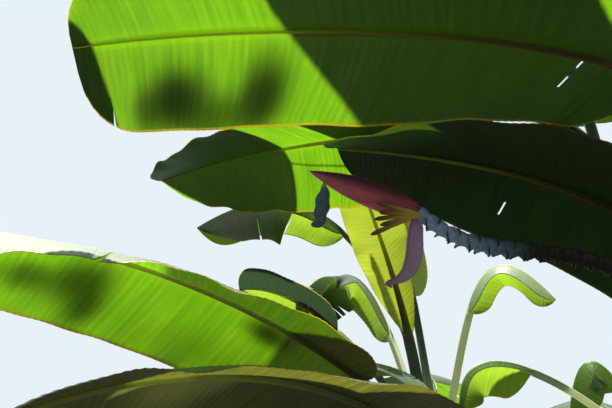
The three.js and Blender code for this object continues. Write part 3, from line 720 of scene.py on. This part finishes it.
rough = 0.0003 * np.sin(17 * np.pi * v)[None] * np.ones(90)[:, None]
sheet = middle[:, None] + ACROSS * (half[:, None] * np.sin(0.5 * np.pi * v * 0.92)[None])[..., None]
sheet = sheet - front[:, None] * (bow + rough)[..., None]
outer = sheet - front[:, None] * 0.0013
n = 90 * 41
corners = grid_faces(90, 41)
edges = np.stack([corners, np.roll(corners, -1, axis=1)], -1).reshape(-1, 2)
border = edges[~np.isin(edges[:, 0] * n + edges[:, 1], edges[:, 1] * n + edges[:, 0])]
walls = np.stack([border[:, 1], border[:, 0], border[:, 0] + n, border[:, 1] + n], -1)
faces = np.concatenate([corners, corners[:, ::-1] + n, walls])
points = np.concatenate([sheet.reshape(-1, 3), outer.reshape(-1, 3)])
bract = piece("open_bract_shell", points, faces, ["open_bract"], "open_bract",
              inside=np.repeat([1.0, 0.0], n), down=np.tile(np.repeat(u, 41), 2))
print("bract faces:", len(faces))

# %% [markdown]
# ## The withered bract
#
# An older bract has dried to a dark curl that still hangs from the bud. It is a flattened tube along a short
# line, wider than it is deep, so the rings' radius is an ellipse's: 1 / hypot(cos / depth, sin / width).

# %% Withered bract
WITHERED = np.array([[-924.5, 1746.5, 1.5], [-924.0, 1734.5, 6.0], [-925.5, 1727.5, 8.5],
                     [-926.5, 1720.0, 10.0], [-927.5, 1713.0, 10.5], [-928.5, 1705.5, 10.0],
                     [-930.0, 1698.5, 9.0], [-931.0, 1691.5, 8.5], [-934.5, 1686.5, 7.0],
                     [-939.0, 1684.8, 4.5], [-943.0, 1685.0, 2.0]]) / 1000
line = np.stack([WITHERED[:, 0], np.full(len(WITHERED), -0.250), WITHERED[:, 1]], -1)
lengths = np.concatenate([[0], np.cumsum(np.linalg.norm(np.diff(line, axis=0), axis=1))])
s = np.linspace(0, lengths[-1], 60)
turn = -np.linspace(0, 2 * np.pi, 28, endpoint=False)
crumple = 1 + 0.08 * np.sin(9 * turn)[None] * np.sin(300 * s)[:, None]
wide = np.interp(s, lengths, WITHERED[:, 2])[:, None] * crumple
radius = 1 / np.hypot(np.cos(turn)[None] / (0.35 * wide), np.sin(turn)[None] / wide)
points, faces = capped(carried(line, lengths, s, radius, turn))
withered = piece("withered_bract_curl", points, faces, ["withered_bract"], "flower_stalk",
                 gone=np.append(np.repeat(s / s[-1], 28), [0, 1]))
print("withered bract:", round(float(lengths[-1]), 3), "long")

# %% [markdown]
# ## The flowers
#
# A row of slim flowers sits in the angle between the bud and the open bract. Each is a tube that bends a
# little and swells to a blunt, darker tip.

# %% Flowers
FLOWER_RADIUS = 0.0033
FLOWERS = [(200, 10, 0.066), (190, -7, 0.065), (183, -22, 0.074), (196, 0, 0.060), (186, -15, 0.058)]
parts, share = [], []
root = STALK_END - AT_END * 0.004 + np.array([0, -0.011, -0.006])
s = np.linspace(0, 1, 30)
turn = -np.linspace(0, 2 * np.pi, 12, endpoint=False)
for facing, climb, length in FLOWERS:
    axis = heading(facing, climb)
    drop = np.array([0, 0, -0.12 * length])
    line, lengths = bezier(root, root + axis * length * 0.4 + drop * -0.3, root + axis * length * 0.75,
                           root + axis * length, 80)
    girth = np.interp(s, [0, 0.2, 0.6, 0.8, 0.93, 1], [0.8, 1.0, 0.85, 1.0, 0.9, 0.35])
    radius = FLOWER_RADIUS * girth[:, None] * (1 + 0.08 * np.cos(3 * turn)[None])
    rings = carried(line, lengths, s * lengths[-1], radius, turn)
    parts.append(capped(rings))
    share.append(np.append(np.repeat(s, 12), [0, 1]))
points, faces = several(parts)
flowers = piece("flower_row", points, faces, ["flower_stalk"], "flower_bud", share=np.concatenate(share))
print(len(FLOWERS), "flowers")

# %% [markdown]
# ## Finishes: patterns the plant shares
#
# Living tissue is never one flat colour. Three patterns are used by several finishes, so each is a node
# group: soft blotches, fine streaks along a fibre, and a coordinate for the blades' side veins.

# %% Node helpers
def new_group(name, inputs, outputs):
    """An empty shader group with float or colour sockets; inputs are (name, kind, value)."""
    group = bpy.data.node_groups.new(name, "ShaderNodeTree")
    for label, kind, value in inputs:
        socket = group.interface.new_socket(label, in_out="INPUT", socket_type=kind)
        socket.default_value = value
    for label, kind in outputs:
        group.interface.new_socket(label, in_out="OUTPUT", socket_type=kind)
    return group, group.nodes.new("NodeGroupInput"), group.nodes.new("NodeGroupOutput")


def node(tree, kind, **settings):
    """A node with its properties set; inputs sets its sockets, by number or name, to a value or another
    socket."""
    made = tree.nodes.new(kind)
    inputs = settings.pop("inputs", {})
    for key, value in settings.items():
        setattr(made, key, value)
    for key, value in inputs.items():
        if isinstance(value, bpy.types.NodeSocket):
            tree.links.new(value, made.inputs[key])
        else:
            made.inputs[key].default_value = value
    return made


def math(tree, operation, a, b=0.0, clamp=False):
    """The output of a Math node."""
    return node(tree, "ShaderNodeMath", operation=operation, use_clamp=clamp, inputs={0: a, 1: b}).outputs[0]


def blend_colours(tree, mask, a, b, kind="MIX"):
    """The output of a colour Mix node: a where the mask is 0, b where it is 1."""
    return node(tree, "ShaderNodeMix", data_type="RGBA", blend_type=kind,
                inputs={0: mask, 6: a, 7: b}).outputs[2]


def between(tree, value, low, high, to_low=0.0, to_high=1.0):
    """The output of a Map Range node, held inside its limits."""
    return node(tree, "ShaderNodeMapRange",
                inputs={0: value, 1: low, 2: high, 3: to_low, 4: to_high}).outputs[0]


def attribute(tree, name):
    """A named value that a piece carries at its points."""
    return node(tree, "ShaderNodeAttribute", attribute_name=name).outputs["Fac"]


# %% Blotches
knobs = [("Scale", "NodeSocketFloat", 20.0), ("Sharpness", "NodeSocketFloat", 0.2)]
blotches, inside, outside = new_group("blotches", knobs, [("Mask", "NodeSocketFloat")])
place = blotches.nodes.new("ShaderNodeTexCoord").outputs["Object"]
noise = node(blotches, "ShaderNodeTexNoise",
             inputs={"Vector": place, "Scale": inside.outputs["Scale"], "Detail": 4.0})
low = math(blotches, "SUBTRACT", 0.5, inside.outputs["Sharpness"])
high = math(blotches, "ADD", 0.5, inside.outputs["Sharpness"])
mask = node(blotches, "ShaderNodeMapRange", inputs={0: noise.outputs["Fac"], 1: low, 2: high}).outputs[0]
blotches.links.new(mask, outside.inputs["Mask"])


def blotched(tree, scale, sharpness):
    """The blotches' mask in a material: how many to a metre, and how hard their edges are."""
    group = node(tree, "ShaderNodeGroup", node_tree=blotches, inputs={"Scale": scale, "Sharpness": sharpness})
    return group.outputs["Mask"]


# %% Veins
patterns = [(label, "NodeSocketFloat") for label in ("Fold", "Hair", "Tone")]
veins, inside, outside = new_group("side_veins", [("Pitch", "NodeSocketFloat", PLEAT)], patterns)
run = attribute(veins, "vein")
out = attribute(veins, "out")
turns = math(veins, "DIVIDE", run, inside.outputs["Pitch"])
fold = math(veins, "SINE", math(veins, "MULTIPLY", turns, 6.28318))
veins.links.new(between(veins, fold, -1.0, 1.0), outside.inputs["Fold"])
hair_place = node(veins, "ShaderNodeCombineXYZ",
                  inputs={0: math(veins, "MULTIPLY", run, 900.0), 1: math(veins, "MULTIPLY", out, 1.5)})
hair = node(veins, "ShaderNodeTexNoise", noise_dimensions="2D",
            inputs={"Vector": hair_place.outputs[0], "Scale": 1.0, "Detail": 2.0})
veins.links.new(hair.outputs["Fac"], outside.inputs["Hair"])
tone_place = node(veins, "ShaderNodeCombineXYZ",
                  inputs={0: math(veins, "MULTIPLY", run, 90.0), 1: math(veins, "MULTIPLY", out, 1.2)})
tone = node(veins, "ShaderNodeTexNoise", noise_dimensions="2D",
            inputs={"Vector": tone_place.outputs[0], "Scale": 1.0, "Detail": 3.0})
veins.links.new(tone.outputs["Fac"], outside.inputs["Tone"])

# %% [markdown]
# ## The leaf blade's finish
#
# A blade does two things with light: its waxy skin reflects a pale sheen from above, and its tissue lets the
# sun through, which is why it glows yellow-green seen from below. So the finish mixes a Principled shader
# with a Translucent one. The veins give both of them stripes and a fine relief, and a thin margin is yellow.
#
# Most blades share one green. The small leaves are thinner and let more light through, the two youngest are
# yellower, the oldest is dull and tan, and a few are dense or matte. Three values that ride on the points
# change
# a blade by place: one darkens it with painted shade where leaves or something far above keep the sun off, one
# gives a pale tan spot and painted light, and one a painted white sheen for the sky's and sun's reflection.

# %% Leaf blade
def leaf_finish(name, skin, glow, through_share, gloss=0.5, coat=0.8, shade=(0.008, 0.022, 0.006, 1)):
    """skin and glow are (middle, darker, lighter, margin) colours of reflected and of transmitted light. shade
    is the colour of the painted shade.
    """
    material = bpy.data.materials.new(name)
    material.use_nodes = True
    tree = material.node_tree
    tree.nodes.clear()
    stripes = node(tree, "ShaderNodeGroup", node_tree=veins)
    patches = blotched(tree, 9.0, 0.22)
    out = attribute(tree, "out")
    margin = between(tree, out, 0.966, 0.984)
    near_rib = between(tree, out, 0.16, 0.0)
    tone = between(tree, stripes.outputs["Tone"], 0.3, 0.7)
    hair = between(tree, stripes.outputs["Hair"], 0.35, 0.65)

    def tinted(base, dark, light, edge):
        colour = blend_colours(tree, tone, base, light)
        colour = blend_colours(tree, math(tree, "MULTIPLY", patches, 0.35), colour, dark)
        colour = blend_colours(tree, math(tree, "MULTIPLY", hair, 0.30), colour, dark)
        colour = blend_colours(tree, math(tree, "MULTIPLY", stripes.outputs["Fold"], 0.22), colour, dark)
        colour = blend_colours(tree, math(tree, "MULTIPLY", near_rib, 0.4), colour, light)
        # Painted shade: the colour turns to the shade colour where a blade lies in shadow.
        colour = blend_colours(tree, math(tree, "MULTIPLY", attribute(tree, "painted_shade"), 0.80), colour, shade)
        return blend_colours(tree, margin, colour, edge)

    ridges = math(tree, "ADD", stripes.outputs["Fold"], math(tree, "MULTIPLY", hair, 0.35))
    bump = node(tree, "ShaderNodeBump", inputs={"Strength": 0.35, "Distance": 0.0012, "Height": ridges})
    # A pale tan: a spot on the oldest blade, and painted light on the shaded foot of leaf_3a.
    surface = blend_colours(tree, attribute(tree, "tan_and_painted_light"), tinted(*skin), (0.62, 0.55, 0.20, 1))
    # A painted white sheen, which stands for the sky's and sun's reflection.
    surface = blend_colours(tree, attribute(tree, "painted_sheen"), surface, (0.66, 0.68, 0.66, 1))
    shader = node(tree, "ShaderNodeBsdfPrincipled", inputs={"Base Color": surface, "Normal": bump.outputs[0]})
    painted_shade = attribute(tree, "painted_shade")
    rough = math(tree, "ADD", between(tree, hair, 0.0, 1.0, 0.40, 0.5), math(tree, "MULTIPLY", painted_shade, 0.3))
    tree.links.new(rough, shader.inputs["Roughness"])
    tree.links.new(between(tree, painted_shade, 0.0, 0.8, coat, 0.0), shader.inputs["Coat Weight"])
    shader.inputs["Specular IOR Level"].default_value = gloss
    shader.inputs["Coat Roughness"].default_value = 0.42
    through = node(tree, "ShaderNodeBsdfTranslucent",
                   inputs={"Color": tinted(*glow), "Normal": bump.outputs[0]})
    mixed = node(tree, "ShaderNodeMixShader",
                 inputs={0: through_share, 1: shader.outputs[0], 2: through.outputs[0]})
    tree.links.new(mixed.outputs[0], node(tree, "ShaderNodeOutputMaterial").inputs[0])
    return material


SKIN = ((0.036, 0.062, 0.022, 1), (0.022, 0.040, 0.016, 1), (0.05, 0.082, 0.03, 1), (0.40, 0.34, 0.04, 1))
GLOW = ((0.49, 0.77, 0.085, 1), (0.34, 0.60, 0.05, 1), (0.64, 0.92, 0.11, 1), (1.0, 0.85, 0.10, 1))
blade_green = leaf_finish("blade_green", SKIN, GLOW, 0.5)
THIN_GLOW = ((0.66, 0.85, 0.20, 1), (0.52, 0.74, 0.12, 1), (0.78, 0.92, 0.26, 1), (0.90, 0.75, 0.12, 1))
# The thin blades' painted shade is bluish, a painted reflection of the sky.
blade_thin = leaf_finish("blade_thin", SKIN, THIN_GLOW, 0.6, 0.4, 0.8, (0.05, 0.10, 0.14, 1))
blade_soft = leaf_finish("blade_soft", SKIN, THIN_GLOW, 0.6, 0.08, 0.1)
blade_matte = leaf_finish("blade_matte", SKIN, GLOW, 0.5, 0.2, 0.2)
YOUNG_SKIN = ((0.10, 0.16, 0.04, 1), (0.07, 0.12, 0.03, 1), (0.13, 0.20, 0.05, 1), (0.30, 0.28, 0.05, 1))
YOUNG_GLOW = ((0.84, 0.93, 0.22, 1), (0.72, 0.85, 0.16, 1), (0.93, 0.97, 0.32, 1), (0.98, 0.85, 0.20, 1))
blade_young = leaf_finish("blade_young", YOUNG_SKIN, YOUNG_GLOW, 0.62)
OLD_SKIN = ((0.10, 0.085, 0.035, 1), (0.06, 0.055, 0.025, 1), (0.16, 0.13, 0.06, 1), (0.22, 0.14, 0.04, 1))
OLD_GLOW = ((0.42, 0.46, 0.14, 1), (0.28, 0.34, 0.08, 1), (0.60, 0.58, 0.22, 1), (0.60, 0.45, 0.08, 1))
blade_old = leaf_finish("blade_old", OLD_SKIN, OLD_GLOW, 0.45)
# The dense blades' skin is painted darker than the others', as painted shade for leaves that lie in deep shade.
DENSE_SHADED_SKIN = ((0.010, 0.027, 0.009, 1), (0.006, 0.018, 0.006, 1), (0.016, 0.036, 0.012, 1),
              (0.10, 0.09, 0.02, 1))
blade_dense = leaf_finish("blade_dense", DENSE_SHADED_SKIN, GLOW, 0.2, 0.12, 0.1)
SHARED = ((blade_young, ("2a", "2b")), (blade_old, ("3b",)), (blade_matte, ("1b",)), (blade_soft, ("2c",)),
          (blade_dense, ("4e", "1j", "1e", "1c")), (blade_thin, ("2d", "2e", "2g", "4a", "4b")))
finish_of = {"leaf_" + short: material for material, shorts in SHARED for short in shorts}
for name, blade in blades.items():
    blade.data.materials.append(finish_of.get(name, blade_green))

# %% [markdown]
# ## Ribs, stems and stalk
#
# The ribs are pale green, and red-brown on the underside of the older blades; the small leaves' whitish ribs
# are partly painted light. The stems are streaked green, with dry brown margins on the sheaths and more brown
# towards the ground. The flower stalk is painted near black at the stem, as painted shade, and bright blue
# towards the bud, as a painted reflection of the sky, with dark scars.

# %% A plain start for the other finishes
def finish(name, roughness=0.5, coat=0.0, gloss=0.5):
    """A material with one Principled shader; returns the material, its tree and the shader."""
    material = bpy.data.materials.new(name)
    material.use_nodes = True
    tree = material.node_tree
    tree.nodes.clear()
    shader = node(tree, "ShaderNodeBsdfPrincipled")
    shader.inputs["Roughness"].default_value = roughness
    shader.inputs["Coat Weight"].default_value = coat
    shader.inputs["Specular IOR Level"].default_value = gloss
    shader.inputs["Coat Roughness"].default_value = 0.3
    tree.links.new(shader.outputs[0], node(tree, "ShaderNodeOutputMaterial").inputs[0])
    return material, tree, shader


def relief(tree, height, strength, depth):
    """The normal of a surface whose fine relief is that height."""
    return node(tree, "ShaderNodeBump",
                inputs={"Strength": strength, "Distance": depth, "Height": height}).outputs[0]


def streaks(tree, scale, stretch):
    """Noise drawn out upwards: the Object coordinate's height is squeezed before the noise reads it."""
    place = tree.nodes.new("ShaderNodeTexCoord").outputs["Object"]
    squeezed = node(tree, "ShaderNodeMapping", inputs={"Vector": place, "Scale": (1, 1, stretch)})
    return node(tree, "ShaderNodeTexNoise",
                inputs={"Vector": squeezed.outputs[0], "Scale": scale, "Detail": 5.0}).outputs["Fac"]


# %% Rib finish
rib_pale, tree, shader = finish("rib_pale", 0.4, 0.2)
place = attribute(tree, "place")
pale = attribute(tree, "pale")
patches = blotched(tree, 30.0, 0.15)
green = blend_colours(tree, patches, (0.18, 0.26, 0.17, 1), (0.25, 0.34, 0.22, 1))
yellow = blend_colours(tree, patches, (0.17, 0.20, 0.04, 1), (0.13, 0.16, 0.03, 1))
colour = blend_colours(tree, between(tree, place, 0.0, 0.5), green, yellow)
red = math(tree, "MULTIPLY", between(tree, attribute(tree, "below"), 0.1, 0.8),
           between(tree, place, 0.60, 0.45))
colour = blend_colours(tree, math(tree, "MULTIPLY", red, between(tree, place, -0.05, 0.1)), colour,
                       (0.20, 0.075, 0.04, 1))
# Painted light, in part: the pale ribs are lightened towards a whitish green.
colour = blend_colours(tree, pale, colour, (0.78, 0.84, 0.62, 1))
tree.links.new(colour, shader.inputs["Base Color"])
fibre = streaks(tree, 160.0, 0.1)
bump = relief(tree, fibre, 0.2, 0.001)
tree.links.new(bump, shader.inputs["Normal"])
glow = blend_colours(tree, between(tree, place, 0.15, 0.6), (0.06, 0.06, 0.03, 1), (0.90, 0.98, 0.25, 1))
glow = blend_colours(tree, math(tree, "MULTIPLY", pale, 0.8), glow, (0.80, 0.85, 0.60, 1))
through = node(tree, "ShaderNodeBsdfTranslucent", inputs={"Color": glow, "Normal": bump})
mixed = node(tree, "ShaderNodeMixShader", inputs={0: 0.5, 1: shader.outputs[0], 2: through.outputs[0]})
surface = next(n for n in tree.nodes if n.bl_idname == "ShaderNodeOutputMaterial")
tree.links.new(mixed.outputs[0], surface.inputs[0])
for rib in ribs.values():
    rib.data.materials.append(rib_pale)

# %% Stem finish
sheath, tree, shader = finish("sheath", 0.42, 0.2)
fine = streaks(tree, 90.0, 0.06)
broad = streaks(tree, 16.0, 0.12)
colour = blend_colours(tree, between(tree, fine, 0.35, 0.65), (0.20, 0.27, 0.06, 1), (0.30, 0.36, 0.10, 1))
blotch = blotched(tree, 14.0, 0.08)
dark = math(tree, "MULTIPLY", blotch, between(tree, broad, 0.5, 0.62))
colour = blend_colours(tree, math(tree, "MULTIPLY", dark, 0.8), colour, (0.10, 0.035, 0.015, 1))
height = attribute(tree, "height")
dry = math(tree, "ADD", between(tree, height, 0.55, 0.0), math(tree, "SUBTRACT", broad, 0.5))
dry = between(tree, math(tree, "ADD", dry, math(tree, "MULTIPLY", attribute(tree, "edge"), 0.6)), 0.55, 0.85)
husk = blend_colours(tree, between(tree, fine, 0.3, 0.7), (0.16, 0.08, 0.03, 1), (0.36, 0.24, 0.11, 1))
tree.links.new(blend_colours(tree, dry, colour, husk), shader.inputs["Base Color"])
tree.links.new(between(tree, dry, 0.0, 1.0, 0.38, 0.85), shader.inputs["Roughness"])
tree.links.new(relief(tree, fine, 0.5, 0.002), shader.inputs["Normal"])
for stem in stems.values():
    stem.data.materials.append(sheath)

# %% Stalk finish
scarred, tree, shader = finish("scarred_stalk", 0.6, 0.0, 0.15)
shelf_value = attribute(tree, "shelf")
patches = blotched(tree, 120.0, 0.2)
# Painted shade and a painted reflection: near black at the stem end, in shade, and bluish towards the bud,
# where the sky is reflected.
painted_shade_end = blend_colours(tree, patches, (0.014, 0.017, 0.011, 1), (0.034, 0.036, 0.026, 1))
painted_sky_end = blend_colours(tree, patches, (0.30, 0.42, 0.85, 1), (0.48, 0.60, 0.95, 1))
colour = blend_colours(tree, between(tree, attribute(tree, "gone"), 0.76, 0.95), painted_shade_end, painted_sky_end)
colour = blend_colours(tree, between(tree, shelf_value, 0.12, 0.5), colour, (0.035, 0.03, 0.05, 1))
tree.links.new(colour, shader.inputs["Base Color"])
tree.links.new(relief(tree, patches, 0.4, 0.001), shader.inputs["Normal"])
stalk.data.materials.append(scarred)

# %% [markdown]
# The withered bract has dried to a dull blue-green, and the spot where it hangs on the bud is yellowish.

# %% Withered finish
dried, tree, shader = finish("dried_teal", 0.6, 0.05)
patches = blotched(tree, 150.0, 0.2)
colour = blend_colours(tree, patches, (0.05, 0.11, 0.12, 1), (0.10, 0.17, 0.18, 1))
colour = blend_colours(tree, between(tree, attribute(tree, "gone"), 0.14, 0.06), colour,
                       (0.55, 0.50, 0.12, 1))
tree.links.new(colour, shader.inputs["Base Color"])
withered.data.materials.append(dried)

# %% [markdown]
# ## Bud, bract and flowers
#
# The bracts are maroon and finely ribbed along their length. The bud is painted dark above, as painted shade,
# and pink-red below, as painted light from beneath. The open one shows mauve outside and a duller red inside.
# The flowers go from ochre to a brown tip.

# %% Letting light through
def let_through(tree, shader, colour, share):
    """Mixes a Translucent shader of that colour into a finish."""
    through = node(tree, "ShaderNodeBsdfTranslucent", inputs={"Color": colour})
    mixed = node(tree, "ShaderNodeMixShader", inputs={0: share, 1: shader.outputs[0], 2: through.outputs[0]})
    surface = next(n for n in tree.nodes if n.bl_idname == "ShaderNodeOutputMaterial")
    tree.links.new(mixed.outputs[0], surface.inputs[0])


# %% Bud finish
bud_red, tree, shader = finish("bud_red", 0.5, 0.0, 0.15)
ribbing = blotched(tree, 55.0, 0.25)
# Painted shade and light: the bud is painted dark maroon on top and pink-red underneath.
under = between(tree, attribute(tree, "upward"), 0.35, -0.35)
colour = blend_colours(tree, under, (0.06, 0.018, 0.022, 1), (0.80, 0.20, 0.28, 1))
colour = blend_colours(tree, math(tree, "MULTIPLY", ribbing, 0.4), colour, (0.30, 0.05, 0.09, 1))
colour = blend_colours(tree, between(tree, attribute(tree, "lip"), 0.4, 1.0), colour, (0.48, 0.10, 0.16, 1))
tree.links.new(colour, shader.inputs["Base Color"])
bud.data.materials.append(bud_red)

# %% Bract finish
bract_mauve, tree, shader = finish("bract_mauve", 0.5, 0.1)
patches = blotched(tree, 70.0, 0.25)
outer_side = blend_colours(tree, patches, (0.66, 0.42, 0.66, 1), (0.76, 0.56, 0.85, 1))
inner_side = blend_colours(tree, patches, (0.45, 0.17, 0.22, 1), (0.50, 0.22, 0.26, 1))
tree.links.new(blend_colours(tree, attribute(tree, "inside"), outer_side, inner_side),
               shader.inputs["Base Color"])
let_through(tree, shader, (0.80, 0.55, 0.85, 1), 0.45)
bract.data.materials.append(bract_mauve)

# %% Flower finish
flower_ochre, tree, shader = finish("flower_ochre", 0.45, 0.1)
colour = blend_colours(tree, between(tree, attribute(tree, "share"), 0.3, 0.95), (0.85, 0.58, 0.10, 1),
                       (0.16, 0.06, 0.025, 1))
tree.links.new(colour, shader.inputs["Base Color"])
let_through(tree, shader, colour, 0.3)
flowers.data.materials.append(flower_ochre)

# %% [markdown]
# ## Floor, light and camera
#
# The plant is seen from a standing person's eye height, under its leaves, looking a little up. A sun almost
# overhead makes the blades glow and lets the upper leaves shade the lower ones. A pale sky fills the rest. It
# is strong behind the plant and weak elsewhere, because the shade under the leaves is deep, and only glossy
# reflections see it bright overhead. The floor looks pale, but it gives back as little light as dark soil
# would, for the same reason.

# %% Floor
floor_radius = 6.0
turn = np.linspace(0, 2 * np.pi, 96, endpoint=False)
rim = np.stack([np.cos(turn), np.sin(turn), np.zeros(96)], -1) * floor_radius
mesh = bpy.data.meshes.new("floor")
mesh.from_pydata(np.concatenate([rim, [[0, 0, 0]]]).tolist(), [], [[96, k, (k + 1) % 96] for k in range(96)])
floor = bpy.data.objects.new("floor", mesh)
bpy.context.scene.collection.objects.link(floor)
pale_floor, tree, shader = finish("pale_floor", 0.9)
seen = tree.nodes.new("ShaderNodeLightPath").outputs["Is Camera Ray"]
tree.links.new(blend_colours(tree, seen, (0.045, 0.05, 0.035, 1), (0.17, 0.17, 0.165, 1)),
               shader.inputs["Base Color"])
floor.data.materials.append(pale_floor)

# %% Light
world = bpy.data.worlds.new("studio")
bpy.context.scene.world = world
world.use_nodes = True
tree = world.node_tree
tree.nodes.clear()
seen = node(tree, "ShaderNodeBackground", inputs={"Color": (0.80, 0.88, 0.93, 1), "Strength": 1.0})
direction = node(tree, "ShaderNodeSeparateXYZ",
                 inputs={0: tree.nodes.new("ShaderNodeTexCoord").outputs["Generated"]})
panel = between(tree, direction.outputs["Y"], 0.60, 0.95, 0.0, 1.2)
panel = math(tree, "ADD", panel, between(tree, direction.outputs["Z"], 0.0, 0.5, 0.15, 0.05))
path = tree.nodes.new("ShaderNodeLightPath")
sheen = math(tree, "MULTIPLY", path.outputs["Is Glossy Ray"], between(tree, direction.outputs["Z"], 0.1, 0.4))
strength = math(tree, "ADD", panel, sheen)
fill = node(tree, "ShaderNodeBackground", inputs={"Color": (0.80, 0.90, 1.0, 1), "Strength": strength})
mixed = node(tree, "ShaderNodeMixShader",
             inputs={0: path.outputs["Is Camera Ray"], 1: fill.outputs[0], 2: seen.outputs[0]})
tree.links.new(mixed.outputs[0], node(tree, "ShaderNodeOutputWorld").inputs[0])
SUN_FROM = heading(95, 80)
lamp = bpy.data.lights.new("sun", "SUN")
lamp.energy = 14.0
lamp.angle = np.radians(1.2)
lamp.color = (1.0, 0.96, 0.86)
sun = bpy.data.objects.new("sun", lamp)
sun.rotation_euler = Vector(SUN_FROM).to_track_quat("Z", "Y").to_euler()
bpy.context.scene.collection.objects.link(sun)

# %% Camera
camera_data = bpy.data.cameras.new("camera")
camera_data.lens, camera_data.sensor_width = 35.0, 36.0
camera_data.clip_start = 0.02
camera = bpy.data.objects.new("camera", camera_data)
camera.location = (-0.950, -1.050, 1.500)
camera.rotation_euler = (np.radians(90 + 15), 0, 0)
bpy.context.scene.collection.objects.link(camera)
bpy.context.scene.camera = camera
bpy.context.scene.view_settings.view_transform = "Standard"
